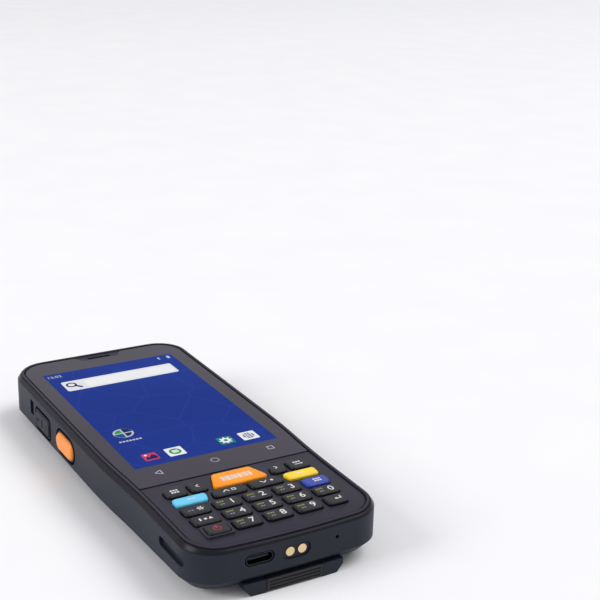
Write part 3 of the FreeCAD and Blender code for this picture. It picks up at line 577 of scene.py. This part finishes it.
class Ink(Enum):
    """Inks of the key legends and marks, each with its finish, and a black that also stands for
    painted shade.
    """

    WHITE = PrintedInk("screen_ink_white", "E2E0E4", "D2D0D6")
    OLIVE = PrintedInk("screen_ink_olive", "8C8C4A", "7C7C42")
    GREY_BLUE = PrintedInk("screen_ink_grey_blue", "8F93B8", "8084A8")
    RED = PrintedInk("screen_ink_red", "C0404C", "B03844")
    # Black: print for the rocker's plus and minus, and painted shade in the gaps round the side
    # buttons, the rocker's groove and the screw drives.
    DARK = PrintedInk("matt_black_print_and_painted_shade", "060609", "09090D", 0.9, 0.0)
    NAVIGATION = PrintedInk("glass_print_grey", "A9A4B4", "9F9AAA", 0.3)


class Pixels(Enum):
    """Lit colours of the display's marks."""

    WHITE = LitPixels("pixels_white", "FAFAFC", "F4F5F9")
    PALE = LitPixels("pixels_pale_grey", "C9CEDA", "BFC4D2")
    FROST = LitPixels("pixels_frost", "EEF0F4", "E8EAF0")
    PINK = LitPixels("pixels_pink", "D8487C", "C93C70")
    GREEN = LitPixels("pixels_green", "35A35A", "2E9850")
    TEAL = LitPixels("pixels_teal", "1E8C86", "1A827C")
    BLUE = LitPixels("pixels_blue", "1F5A86", "1C527A")
    NIGHT = LitPixels("pixels_night_blue", "1B2A5E", "182652")


class Layer(Enum):
    """How far a mark of the display stands over the glass, in millimetres."""

    PICTURE = 0.0
    GROUND = 0.02
    MARK = 0.04
    DETAIL = 0.06


class Tile(Enum):
    """Square icons of the bottom line: middle across, size and ground."""

    PICTURE = (-18.0, 5.1, Pixels.PINK)
    CALL = (-9.15, 6.1, Pixels.WHITE)
    SETTINGS = (9.6, 5.4, Pixels.TEAL)
    WEB = (18.25, 6.1, Pixels.WHITE)


class MaterialShelf:
    """Builds each finish once and hands the same material out again."""

    def __init__(self) -> None:
        """Starts with an empty shelf."""
        self.made: dict[str, Material] = {}

    def get(self, choice: Finish | Ink | Pixels) -> Material:
        """Gives the material of a finish.

        Args:
            choice: A finish, or an ink or lit colour that has one.

        Returns:
            Its material.
        """
        finish = choice.value if isinstance(choice, Enum) else choice
        if finish.name not in self.made:
            self.made[finish.name] = finish.build()
        return self.made[finish.name]


def polar(radius: float, turn: float) -> Point:
    """Point at a radius and an angle in radians."""
    return (radius * math.cos(turn), radius * math.sin(turn))


def shifted(shape: Iterable[Point], x: float, y: float) -> Outline:
    """An outline moved by x and y."""
    return [(px + x, py + y) for px, py in shape]


def circle(x: float, y: float, radius: float, steps: int = 32) -> Outline:
    """Points round a circle."""
    return shifted([polar(radius, 2.0 * math.pi * i / steps) for i in range(steps)], x, y)


def arc_points(x: float, y: float, radius: float, start: float, end: float) -> Outline:
    """Points along an arc.

    Args:
        x: Middle, across.
        y: Middle, along.
        radius: Its radius.
        start: Angle of its first point, in degrees.
        end: Angle of its last point.

    Returns:
        The points.
    """
    steps = 14
    turns = [math.radians(start + (end - start) * i / steps) for i in range(steps + 1)]
    return shifted([polar(radius, t) for t in turns], x, y)


def rounded_box(x: float, y: float, width: float, height: float, radius: float) -> Outline:
    """Points round a rectangle with round corners.

    Args:
        x: Middle, across.
        y: Middle, along.
        width: Size across.
        height: Size along.
        radius: Radius of the corners.

    Returns:
        The outline, counter-clockwise.
    """
    steps = 5
    w = width / 2.0 - radius
    h = height / 2.0 - radius
    points: Outline = []
    for corner, (sx, sy) in enumerate(((1, 1), (-1, 1), (-1, -1), (1, -1))):
        turns = [math.pi / 2.0 * (corner + i / steps) for i in range(steps + 1)]
        points += shifted([polar(radius, t) for t in turns], x + sx * w, y + sy * h)
    return points


def stroke(points: Sequence[Point], width: float) -> list[Outline]:
    """Outlines of a drawn line: a bar for each stretch and a dot at each bend.

    Args:
        points: The line's corners.
        width: The line's width.

    Returns:
        Overlapping outlines that make the line.
    """
    dot_steps = 10
    shapes: list[Outline] = []
    for (x0, y0), (x1, y1) in zip(points, points[1:]):
        reach = math.hypot(x1 - x0, y1 - y0)
        nx = -(y1 - y0) / reach * width / 2.0
        ny = (x1 - x0) / reach * width / 2.0
        bar = [(x0 - nx, y0 - ny), (x1 - nx, y1 - ny), (x1 + nx, y1 + ny), (x0 + nx, y0 + ny)]
        shapes.append(bar)
    shapes += [circle(x, y, width / 2.0, dot_steps) for x, y in points]
    return shapes


def middle_mm(low: Vector, high: Vector) -> Place:
    """Middle of a box, in millimetres."""
    x, y, z = [(a + b) / 2.0 / MM for a, b in zip(low, high)]
    return (x, y, z)


def add_object(name: str, data: bpy.types.ID) -> bpy.types.Object:
    """Puts an object into the scene.

    Args:
        name: Its name.
        data: Its mesh, text, lamp or camera.

    Returns:
        The object.
    """
    thing = bpy.data.objects.new(name, data)
    bpy.context.scene.collection.objects.link(thing)
    return thing


def link_object(name: str, mesh: bpy.types.Mesh, body: str) -> None:
    """Puts a mesh into the scene and lets it ride on a body.

    Args:
        name: The piece's name.
        mesh: Its mesh, already in place in the frame.
        body: The CAD body that carries it.
    """
    piece = add_object(name, mesh)
    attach(piece, body)
    LOG.info("%s rides on %s", name, body)


def link_sheet(
    name: str, sheet: bmesh.types.BMesh, body: str, material: Material
) -> None:
    """Turns a sheet under construction into a piece.

    Args:
        name: The piece's name.
        sheet: Its faces.
        body: The CAD body that carries it.
        material: Its material.
    """
    mesh = bpy.data.meshes.new(name)
    sheet.to_mesh(mesh)
    sheet.free()
    mesh.materials.append(material)
    link_object(name, mesh, body)


def raise_layer(sheet: bmesh.types.BMesh, corners: list[Vector], rise: Vector) -> None:
    """Makes a closed layer of ink or film from an outline.

    Args:
        sheet: The mesh that gets it.
        corners: The outline on the surface below, in metres.
        rise: From there to the layer's face.
    """
    low = [sheet.verts.new(corner) for corner in corners]
    high = [sheet.verts.new(corner + rise) for corner in corners]
    faces = [sheet.faces.new(low), sheet.faces.new(high)]
    turn = range(len(corners))
    faces += [sheet.faces.new((low[i - 1], low[i], high[i], high[i - 1])) for i in turn]
    bmesh.ops.recalc_face_normals(sheet, faces=faces)


def print_plate(
    name: str,
    shapes: Iterable[Outline],
    level: float,
    body: str,
    material: Material,
    facing: float = 1.0,
    lift_mm: float = 0.0,
) -> None:
    """Makes a thin printed layer from outlines in millimetres.

    Args:
        name: The piece's name.
        shapes: The outlines.
        level: Height of the surface below, in metres.
        body: The CAD body that carries it.
        material: The layer's material.
        facing: 1 for a layer that faces up, -1 for one that faces down.
        lift_mm: Extra thickness, for a mark that lies over another one.
    """
    sheet = bmesh.new()
    for i, shape in enumerate(shapes):
        thickness = facing * (PRINT_LIFT + PRINT_STEP * (i % PRINT_LEVELS) + lift_mm) * MM
        corners = [Vector((x * MM, y * MM, level)) for x, y in shape]
        raise_layer(sheet, corners, Vector((0.0, 0.0, thickness)))
    link_sheet(name, sheet, body, material)


def figure_plate(
    name: str,
    figure: str,
    middle: Point,
    height_mm: float,
    heavier: float,
    level: float,
    body: str,
    material: Material,
) -> None:
    """Prints plain figures, such as a digit, as a thin layer.

    Args:
        name: The piece's name.
        figure: The digits to print.
        middle: Their middle, in millimetres.
        height_mm: Their height.
        heavier: How much the strokes are thickened, as a share of the font's size.
        level: Height of the surface below, in metres.
        body: The CAD body that carries them.
        material: The ink.
    """
    letters = bpy.data.curves.new(name + "_curve", "FONT")
    letters.body = figure
    letters.size = height_mm * MM / DIGIT_SHARE
    letters.offset = heavier * letters.size
    letters.resolution_u = FONT_STEPS
    letters.extrude = FIGURE_HALF * MM
    holder = add_object(name + "_holder", letters)
    bpy.context.view_layer.update()
    mesh = bpy.data.meshes.new_from_object(holder)
    bpy.data.objects.remove(holder)
    bpy.data.curves.remove(letters)
    xs = [v.co.x for v in mesh.vertices]
    ys = [v.co.y for v in mesh.vertices]
    shift_x = middle[0] * MM - (min(xs) + max(xs)) / 2.0
    shift_y = middle[1] * MM - (min(ys) + max(ys)) / 2.0
    mesh.transform(Matrix.Translation((shift_x, shift_y, level + FIGURE_HALF * MM)))
    mesh.materials.clear()
    mesh.materials.append(material)
    link_object(name, mesh, body)


@dataclass(frozen=True)
class Softbox:
    """A square lamp, with its side in metres."""

    name: str
    place: Place
    target: Place
    side: float
    watts: float

    def hang(self) -> None:
        """Hangs the lamp in its place and turns it to its target."""
        lamp = bpy.data.lights.new(self.name, "AREA")
        lamp.shape = "SQUARE"
        lamp.size = self.side
        lamp.energy = self.watts
        holder = add_object(self.name, lamp)
        holder.location = self.place
        ahead = Vector(self.target) - Vector(self.place)
        holder.rotation_euler = ahead.to_track_quat("-Z", "Y").to_euler()


@dataclass
class Studio:
    """Pale floor, soft lamps and the camera at the photograph's angle."""

    shelf: MaterialShelf
    floor_finish: Paper = Paper("card_pale", "F4F4F6", "F2F2F5")
    floor_side: float = 8.0
    floor_drop_mm: float = 0.05
    floor_cells: int = 8
    lamps: tuple[Softbox, ...] = (
        Softbox("key_softbox", (2.2, -0.7, 3.2), (0.3, 0.4, 0.0), 2.2, 76.0),
        Softbox("left_softbox", (-2.6, 0.3, 1.5), (0.0, 0.0, 0.0), 1.4, 42.0),
    )
    room_shade: str = "F4F4F6"
    room_light: float = 0.56
    camera_place: Place = (-0.17158, -0.36737, 0.20506)
    camera_ahead: Place = (0.4823, 0.8131, -0.3260)
    camera_up: Place = (0.1420, 0.2946, 0.9450)
    lens_mm: float = 77.24
    sensor_mm: float = 36.0
    nearest: float = 0.01
    farthest: float = 50.0

    def build(self) -> None:
        """Builds the floor, the lamps, the room and the camera."""
        self.lay_floor()
        for lamp in self.lamps:
            lamp.hang()
        self.light_room()
        self.place_camera()

    def lay_floor(self) -> None:
        """Lays a grid of card just under the terminal."""
        mesh = bpy.data.meshes.new("floor")
        sheet = bmesh.new()
        cells = self.floor_cells
        bmesh.ops.create_grid(sheet, x_segments=cells, y_segments=cells, size=self.floor_side / 2.0)
        sheet.to_mesh(mesh)
        sheet.free()
        floor = add_object("floor", mesh)
        floor.location = (0.0, 0.0, -self.floor_drop_mm * MM)
        mesh.materials.append(self.shelf.get(self.floor_finish))

    def light_room(self) -> None:
        """Fills the room with even pale light, brighter where it is seen or mirrored."""
        world = bpy.data.worlds.new("pale_room")
        world.use_nodes = True
        world.node_tree.nodes.clear()
        rays = add_node(world, "ShaderNodeLightPath").outputs
        seen = rays["Is Camera Ray"]
        for ray in ("Is Glossy Ray", "Is Transmission Ray"):
            pair = {0: seen, 1: rays[ray]}
            either = add_node(world, "ShaderNodeMath", None, pair, operation="MAXIMUM")
            seen = either.outputs["Value"]
        levels = {"To Min": self.room_light, "To Max": 1.0}
        strength = add_node(world, "ShaderNodeMapRange", levels, {"Value": seen})
        light = add_node(
            world,
            "ShaderNodeBackground",
            {"Color": linear(self.room_shade)},
            {"Strength": strength.outputs["Result"]},
        )
        add_node(world, "ShaderNodeOutputWorld", None, {"Surface": light.outputs["Background"]})
        bpy.context.scene.world = world

    def place_camera(self) -> None:
        """Sets the camera where the photograph was taken from."""
        lens = bpy.data.cameras.new("camera")
        lens.lens = self.lens_mm
        lens.sensor_width = self.sensor_mm
        lens.clip_start = self.nearest
        lens.clip_end = self.farthest
        holder = add_object("camera", lens)
        ahead = Vector(self.camera_ahead).normalized()
        right = ahead.cross(Vector(self.camera_up)).normalized()
        up = right.cross(ahead)
        turn = Matrix((right, up, -ahead)).transposed().to_4x4()
        holder.matrix_world = Matrix.Translation(self.camera_place) @ turn
        bpy.context.scene.camera = holder


@dataclass
class Shell:
    """Every CAD node, dressed in the finish of its material slot."""

    shelf: MaterialShelf

    def dress(self, frame: dict[str, Any]) -> None:
        """Gives each node its material.
        """
        slots = {s["node"]: s["material_slot"] for s in frame["record"]["subparts"]}
        for name, node in frame["nodes"].items():
            material = self.shelf.get(NODE_FINISHES.get(name, SLOT_FINISHES[slots[name]]))
            node.data.materials.clear()
            node.data.materials.append(material)
            LOG.info("%s is finished as %s", name, material.name)


@dataclass
class Screen:
    """The lit panel under the glass with its marks, and the touch marks below it.

    Its outlines are in millimetres, from the middle of the picture's foot.
    """

    shelf: MaterialShelf
    width: float = 52.27
    length: float = 87.12
    corner: float = 0.3
    status_rise: float = 84.2
    time_place: float = 3.7
    time_height: float = 1.8
    time_heavier: float = 0.01
    search_low: float = 69.0
    search_high: float = 78.1
    search_left: float = -22.6
    search_right: float = 21.8
    search_button: float = 8.5
    search_end: float = 0.9
    search_frame: float = 1.3
    magnifier_place: float = 3.0
    tile_rise: float = 6.3
    round_place: Point = (-18.9, 27.0)
    round_radius: float = 3.6
    quarter_radius: float = 3.1
    quarter_gap: float = 0.3
    touch_drop: float = -5.3
    touch_line: float = 0.4
    foot: float = field(default=0.0, init=False)
    level: float = field(default=0.0, init=False)

    def build(self) -> None:
        """Builds the panel and all marks."""
        low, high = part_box("display_module")
        self.foot = middle_mm(low, high)[1] - self.length / 2.0
        self.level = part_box("cover_glass")[1].z
        picture = rounded_box(0.0, self.length / 2.0, self.width, self.length, self.corner)
        self.plate("display_picture", [picture], PANEL_LIGHT, Layer.PICTURE)
        self.search_box()
        self.status_marks()
        self.icons()
        self.touch_marks()

    def plate(
        self,
        name: str,
        shapes: list[Outline],
        colour: Finish | Ink | Pixels,
        layer: Layer,
        at: Point = (0.0, 0.0),
    ) -> None:
        """Lays outlines on the glass.

        Args:
            name: The piece's name.
            shapes: The outlines.
            colour: Their finish.
            layer: How high they lie.
            at: Where the outlines' own middle goes.
        """
        placed = [shifted(shape, at[0], at[1] + self.foot) for shape in shapes]
        material = self.shelf.get(colour)
        print_plate(name, placed, self.level, HOUSING, material, 1.0, layer.value)

    def search_box(self) -> None:
        """Lays the pale search field with its magnifier."""
        middle = (self.search_left + self.search_right) / 2.0
        rise = (self.search_low + self.search_high) / 2.0
        width = self.search_right - self.search_left
        height = self.search_high - self.search_low
        frame = [rounded_box(middle, rise, width, height, 1.0)]
        self.plate("search_frame", frame, Pixels.FROST, Layer.GROUND)
        left = self.search_left + self.search_button
        reach = self.search_right - left - self.search_end
        inner = rounded_box(left + reach / 2.0, rise, reach, height - 2.0 * self.search_frame, 0.5)
        self.plate("search_field", [inner], Pixels.WHITE, Layer.MARK)
        lens = stroke(arc_points(0.0, 0.9, 1.7, 0.0, 360.0), 0.75)
        handle = stroke([(1.3, -0.4), (2.9, -2.2)], 1.1)
        at = (self.search_left + self.magnifier_place, rise)
        self.plate("search_magnifier", lens + handle, Pixels.NIGHT, Layer.MARK, at)

    def status_marks(self) -> None:
        """Lays the time, the battery and a pin in the top line."""
        level = self.level + Layer.MARK.value * MM
        place = (-self.width / 2.0 + self.time_place, self.foot + self.status_rise)
        pale = self.shelf.get(Pixels.PALE)
        figure_plate(
            "status_time", "12:02", place, self.time_height, self.time_heavier, level, HOUSING, pale
        )
        cell = rounded_box(24.0, 0.0, 1.2, 2.1, 0.2)
        cap = rounded_box(24.0, 1.2, 0.6, 0.5, 0.1)
        head = circle(20.0, 0.6, 0.5, 14)
        marks = [cell, cap, head] + stroke([(20.0, -1.0), (20.0, 0.8)], 0.4)
        self.plate("status_marks", marks, Pixels.PALE, Layer.MARK, (0.0, self.status_rise))

    def icons(self) -> None:
        """Lays four square icons in the bottom line and a round one above them."""
        for tile in Tile:
            x, size, ground = tile.value
            square = [rounded_box(x, self.tile_rise, size, size, 0.5)]
            self.plate("icon_" + tile.name.lower(), square, ground, Layer.GROUND)
        at = (Tile.PICTURE.value[0], self.tile_rise)
        hills = [(-2.1, -1.8), (2.1, -1.8), (2.1, 0.2), (0.9, 1.4), (-0.5, -0.4), (-1.3, 0.4)]
        self.plate("icon_picture_hills", [hills], Pixels.NIGHT, Layer.MARK, at)
        sun = [circle(-1.2, 1.5, 0.5, 18)]
        self.plate("icon_picture_sun", sun, Pixels.WHITE, Layer.MARK, at)
        at = (Tile.CALL.value[0], self.tile_rise)
        self.plate("icon_call_disc", [circle(0.0, 0.0, 2.1)], Pixels.GREEN, Layer.MARK, at)
        bars = [rounded_box(0.0, step, 2.2, 0.5, 0.1) for step in (-0.7, 0.0, 0.7)]
        self.plate("icon_call_bars", bars, Pixels.WHITE, Layer.DETAIL, at)
        self.gear()
        self.globe()
        self.round_icon()

    def gear(self) -> None:
        """Lays a toothed wheel with a hole."""
        at = (Tile.SETTINGS.value[0], self.tile_rise)
        teeth = 8
        wheel = [circle(0.0, 0.0, 1.7)]
        for i in range(teeth):
            turn = 2.0 * math.pi * i / teeth
            wheel += stroke([polar(1.2, turn), polar(2.1, turn)], 0.6)
        self.plate("icon_settings_gear", wheel, Pixels.WHITE, Layer.MARK, at)
        hole = [circle(0.0, 0.0, 0.75, 20)]
        self.plate("icon_settings_hole", hole, Pixels.TEAL, Layer.DETAIL, at)

    def globe(self) -> None:
        """Lays a disc with a net of lines."""
        at = (Tile.WEB.value[0], self.tile_rise)
        radius = 2.1
        line = 0.28
        self.plate("icon_web_globe", [circle(0.0, 0.0, radius)], Pixels.BLUE, Layer.MARK, at)
        net: list[Outline] = []
        for share in (-0.5, 0.0, 0.5):
            half = radius * math.sqrt(1.0 - share * share)
            off = share * radius
            net += stroke([(-half, off), (half, off)], line)
            net += stroke([(off, -half), (off, half)], line)
        self.plate("icon_web_globe_lines", net, Pixels.WHITE, Layer.DETAIL, at)

    def round_icon(self) -> None:
        """Lays a disc in four coloured quarters over a row of dots."""
        at = self.round_place
        disc = [circle(0.0, 0.0, self.round_radius, 40)]
        self.plate("icon_round", disc, Pixels.PALE, Layer.GROUND, at)
        for i, colour in enumerate((Pixels.NIGHT, Pixels.GREEN, Pixels.BLUE, Pixels.NIGHT)):
            start = 90.0 * i
            slant = math.radians(start + 45.0)
            x = math.copysign(self.quarter_gap, math.cos(slant))
            y = math.copysign(self.quarter_gap, math.sin(slant))
            rim = arc_points(x, y, self.quarter_radius - 0.6 * (i % 2), start, start + 90.0)
            name = "icon_round_quarter_" + str(i)
            self.plate(name, [[(x, y)] + rim], colour, Layer.MARK, at)
        dots = [rounded_box(1.2 * i, 0.0, 0.9, 0.9, 0.1) for i in range(-3, 4)]
        below = (at[0], at[1] - 6.3)
        self.plate("icon_round_label", dots, Pixels.PALE, Layer.MARK, below)

    def touch_marks(self) -> None:
        """Prints the triangle, circle and square of the touch keys below the picture."""
        back = [(-19.3, 1.4), (-21.6, 0.0), (-19.3, -1.4), (-19.3, 1.4)]
        home = arc_points(-0.3, 0.0, 1.35, 0.0, 360.0)
        recent = [(19.4, -1.0), (21.4, -1.0), (21.4, 1.0), (19.4, 1.0), (19.4, -1.0)]
        marks = [part for line in (back, home, recent) for part in stroke(line, self.touch_line)]
        self.plate("touch_marks", marks, Ink.NAVIGATION, Layer.PICTURE, (0.0, self.touch_drop))


@dataclass
class Keypad:
    """The printed legends of the keys, each on its own key.

    Their outlines are in millimetres, from the middle of the key.
    """

    shelf: MaterialShelf
    digit_height: float = 2.7
    digit_heavier: float = 0.008
    digit_place: Point = (1.7, -0.1)
    small_offset: float = -2.0
    block_pitch: float = 0.95
    block_width: float = 0.7
    block_corner: float = 0.12
    line_width: float = 0.34
    bar_gap: float = 0.34
    bar_height: float = 2.9
    bar_widths: tuple[float, ...] = (
        0.5, 0.25, 0.25, 0.75, 0.25, 0.5, 0.5, 0.25, 0.75, 0.25, 0.25, 0.5, 0.25, 0.75,
    )

    def build(self) -> None:
        """Prints every key."""
        for digit in "0123456789":
            self.print_digit(digit)
        self.print_arrows()
        self.print_side_keys()
        self.print_scan_key()
        for key in ("cyan_key", "yellow_key"):
            self.mark(key, "line", [rounded_box(0.0, 0.1, 3.0, 0.45, 0.15)])

    def mark(self, key: str, name: str, shapes: list[Outline], ink: Ink = Ink.WHITE) -> None:
        """Prints outlines on a key.

        Args:
            key: The key's node, which is also its body.
            name: The mark's name.
            shapes: The outlines.
            ink: The ink.
        """
        low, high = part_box(key)
        x, y, _ = middle_mm(low, high)
        placed = [shifted(shape, x, y) for shape in shapes]
        print_plate(key + "_" + name, placed, high.z, key, self.shelf.get(ink))

    def blocks(self, rows: Sequence[float], height: float, x: float = 0.0) -> list[Outline]:
        """Rows of three blocks, where small lettering was.

        Args:
            rows: Middle of each row, along.
            height: Height of a block.
            x: Middle of the rows, across.

        Returns:
            The outlines.
        """
        size = (self.block_width, height, self.block_corner)
        return [rounded_box(x + i * self.block_pitch, row, *size) for row in rows for i in (-1, 0, 1)]

    def print_digit(self, digit: str) -> None:
        """Prints one digit with the two small marks beside it.

        Args:
            digit: The digit.
        """
        key = "digit_" + digit + "_key"
        low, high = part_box(key)
        x, y, _ = middle_mm(low, high)
        place = (x + self.digit_place[0], y + self.digit_place[1])
        white = self.shelf.get(Ink.WHITE)
        figure_plate(
            key + "_figure", digit, place, self.digit_height, self.digit_heavier, high.z, key, white
        )
        left = self.small_offset
        upper = [rounded_box(left + i * 0.85, 0.75, 0.6, 0.75, 0.12) for i in (-1, 0, 1)]
        lower = [rounded_box(left + 0.1 + i * 0.8, -0.85, 0.55, 0.5, 0.1) for i in (-0.5, 0.5)]
        self.mark(key, "upper_mark", upper, Ink.OLIVE)
        self.mark(key, "lower_mark", lower, Ink.GREY_BLUE)

    def print_arrows(self) -> None:
        """Prints the four arrow keys."""
        width = self.line_width
        self.mark("left_key", "arrow", stroke([(0.3, 0.8), (-0.5, 0.1), (0.3, -0.6)], width))
        self.mark("right_key", "arrow", stroke([(-0.3, 0.8), (0.5, 0.1), (-0.3, -0.6)], width))
        up = stroke([(-1.7, -0.6), (-0.7, 0.5), (0.3, -0.6)], width)
        down = stroke([(-1.9, 0.5), (-0.9, -0.6), (0.1, 0.5)], width)
        square = stroke([(1.4, -0.5), (2.6, -0.5), (2.6, 0.5), (1.4, 0.5), (1.4, -0.5)], 0.3)
        self.mark("up_key", "arrow", up + square)
        self.mark("down_key", "arrow", down + [circle(1.9, -0.1, 0.5, 16)])

    def print_side_keys(self) -> None:
        """Prints the keys in the outer columns."""
        self.mark("tab_key", "lines", self.blocks((0.5, -0.8), 0.8))
        arrow = stroke([(-1.1, -0.8), (1.1, -0.8)], 0.35) + [[(1.0, -1.3), (1.7, -0.8), (1.0, -0.3)]]
        self.mark("delete_key", "lines", self.blocks((0.6,), 0.8) + arrow)
        star: list[Outline] = []
        for ex, ey in [polar(1.0, math.pi / 3.0 * i) for i in range(3)]:
            star += stroke([(1.5 - ex, -ey), (1.5 + ex, ey)], 0.38)
        self.mark("star_key", "star", star)
        dashes = [rounded_box(x, -0.3, 0.8, 0.35, 0.1) for x in (-2.2, -1.1)]
        self.mark("star_key", "dashes", dashes, Ink.GREY_BLUE)
        stem = rounded_box(-1.7, 0.0, 0.55, 1.5, 0.1)
        dot = rounded_box(0.0, -0.1, 0.9, 0.9, 0.2)
        self.mark("shift_key", "marks", [stem, dot, [(1.0, -0.6), (2.4, -0.6), (1.7, 0.7)]])
        ring = stroke(arc_points(0.0, 0.0, 1.15, 120.0, 420.0), 0.42)
        self.mark("power_key", "symbol", ring + stroke([(0.0, 0.2), (0.0, 1.5)], 0.42), Ink.RED)
        bend = stroke([(1.9, 0.9), (1.9, -0.3), (0.4, -0.3)], 0.4)
        self.mark("enter_key", "arrow", bend + [[(0.5, 0.4), (-0.4, -0.3), (0.5, -1.0)]])
        self.mark("function_key", "lines", self.blocks((0.7, -0.5), 0.75, 0.6))

    def print_scan_key(self) -> None:
        """Prints plain bars of a code on the scan key, where the lettering was."""
        widths = self.bar_widths
        bars: list[Outline] = []
        x = -(sum(widths) + self.bar_gap * (len(widths) - 1)) / 2.0
        for width in widths:
            bars.append(rounded_box(x + width / 2.0, -0.3, width, self.bar_height, 0.08))
            x += width + self.bar_gap
        self.mark("scan_key", "bars", bars)


@dataclass
class SideControls:
    """Painted shade in the gaps round the volume rocker and the side triggers, and the rocker's
    marks.
    """

    shelf: MaterialShelf
    gap: float = 0.75
    tuck: float = 0.1
    rocker_corner: float = 1.2
    trigger_corner: float = 4.0
    mark_place: float = 4.2
    ray_start: float = 60.0

    def build(self) -> None:
        """Makes the gaps' painted shade and the marks."""
        self.shadow_gap("volume_rocker", -1.0, self.rocker_corner)
        self.shadow_gap("left_trigger", -1.0, self.trigger_corner)
        self.shadow_gap("right_trigger", 1.0, self.trigger_corner)
        self.rocker_marks()

    def shadow_gap(self, button: str, side: float, corner: float) -> None:
        """Paints the shade of the gap round a button as a black band on the wall beside it, following
        the wall.

        Args:
            button: The button's node.
            side: -1 for the left side, 1 for the right one.
            corner: Corner radius of the button, in millimetres.
        """
        low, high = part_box(button)
        _, y, z = middle_mm(low, high)
        width = (high.y - low.y) / MM
        height = (high.z - low.z) / MM
        under = 2.0 * self.tuck
        reach = 2.0 * self.gap
        inner = rounded_box(y, z, width - under, height - under, corner)
        outer = rounded_box(y, z, width + reach, height + reach, corner + self.gap)
        sheet = bmesh.new()
        near, far = [
            [sheet.verts.new(self.on_wall(a, u, side)) for a, u in ring] for ring in (inner, outer)
        ]
        for i, start in enumerate(near):
            after = (i + 1) % len(near)
            face = sheet.faces.new((start, near[after], far[after], far[i]))
            face.normal_update()
            if face.normal.x * side < 0.0:
                face.normal_flip()
        # The band is painted shade: black where the gap would lie in shadow.
        link_sheet(button + "_gap", sheet, HOUSING, self.shelf.get(Ink.DARK))

    def on_wall(self, along: float, rise: float, side: float) -> Vector:
        """Finds the wall's surface at a place on the side.

        Args:
            along: Place along the body, in millimetres.
            rise: Height, in millimetres.
            side: -1 for the left side, 1 for the right one.

        Returns:
            The point, a hair in front of the wall, in metres.
        """
        start = Vector((side * self.ray_start * MM, along * MM, rise * MM))
        reach = [0.0]
        for name in ("rear_housing", "side_band"):
            node = bpy.data.objects.get(name)
            hit, place, _, _ = node.ray_cast(start, Vector((-side, 0.0, 0.0)))
            if hit:
                reach.append(abs(place.x))
        return Vector((side * (max(reach) + SIDE_LIFT * MM), along * MM, rise * MM))

    def rocker_marks(self) -> None:
        """Lays a plus and a minus in black print, and a black bar of painted shade for the middle
        groove, on the rocker's face.
        """
        low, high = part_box("volume_rocker")
        _, y, z = middle_mm(low, high)
        spot = self.mark_place
        marks = [
            rounded_box(spot, 0.0, 1.5, 0.4, 0.1),
            rounded_box(spot, 0.0, 0.4, 1.5, 0.1),
            rounded_box(-spot, 0.0, 0.4, 1.5, 0.1),
            # Painted shade where the middle groove is.
            rounded_box(0.0, 0.0, 0.6, 3.4, 0.2),
        ]
        sheet = bmesh.new()
        for i, mark in enumerate(marks):
            corners = [Vector((low.x, a * MM, u * MM)) for a, u in shifted(mark, y, z)]
            raise_layer(sheet, corners, Vector((-(SIDE_LIFT + PRINT_STEP * i) * MM, 0.0, 0.0)))
        dark = self.shelf.get(Ink.DARK)
        link_sheet("volume_rocker_marks", sheet, "volume_rocker", dark)


@dataclass
class BackFittings:
    """Trim and iris of the camera lens, and painted shade for the drives of the screws."""

    shelf: MaterialShelf
    trim_width: float = 0.7
    iris_outer: float = 2.0
    iris_inner: float = 1.3
    ring_steps: int = 40
    screw_radius: float = 1.9
    drive_radius: float = 1.05
    lobe_depth: float = 0.14
    lobes: int = 6
    drive_steps: int = 24

    def build(self) -> None:
        """Makes the rings and the drives' painted shade."""
        self.lens_rings()
        self.screw_drive_painted_shade()

    def lens_rings(self) -> None:
        """Lays the camera lens's trim and iris, each a ring of quads."""
        low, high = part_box("camera_lens")
        x, y, _ = middle_mm(low, high)
        radius = (high.x - low.x) / 2.0 / MM
        rings = {
            "camera_trim": (radius, radius - self.trim_width, ENGINE_METAL),
            "camera_iris": (self.iris_outer, self.iris_inner, SCREW_STEEL),
        }
        for name, (outer, inner, metal) in rings.items():
            rim = circle(x, y, outer, self.ring_steps)
            hole = circle(x, y, inner, self.ring_steps)
            quads = [[rim[i - 1], rim[i], hole[i], hole[i - 1]] for i in range(self.ring_steps)]
            print_plate(name, quads, low.z, HOUSING, self.shelf.get(metal), -1.0)

    def screw_drive_painted_shade(self) -> None:
        """Paints the shade of a lobed drive on each of the four screw heads, as a black layer."""
        low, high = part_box("housing_screws")
        drive: Outline = []
        for turn in [2.0 * math.pi * i / self.drive_steps for i in range(self.drive_steps)]:
            swell = 1.0 - self.lobe_depth * (1.0 - math.cos(self.lobes * turn))
            drive.append(polar(self.drive_radius * swell, turn))
        edge = self.screw_radius
        columns = (low.x / MM + edge, high.x / MM - edge)
        rows = (low.y / MM + edge, high.y / MM - edge)
        drives = [shifted(drive, x, y) for x in columns for y in rows]
        print_plate("screw_drive_painted_shade", drives, low.z, HOUSING, self.shelf.get(Ink.DARK), -1.0)


def build_pieces(frame: dict[str, Any], shelf: MaterialShelf) -> None:
    """Dresses the CAD nodes and builds the sub-assemblies in order.

    Args:
        shelf: The materials.
    """
    Shell(shelf).dress(frame)
    for assembly in (Screen, Keypad, SideControls, BackFittings):
        assembly(shelf).build()


def main() -> None:
    """Loads the frame, dresses it and sets the studio up."""
    logging.basicConfig(level=logging.INFO, format="%(message)s")
    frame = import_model()
    bpy.context.scene.view_settings.view_transform = "Standard"
    shelf = MaterialShelf()
    build_pieces(frame, shelf)
    Studio(shelf).build()


if __name__ == "__main__":
    main()
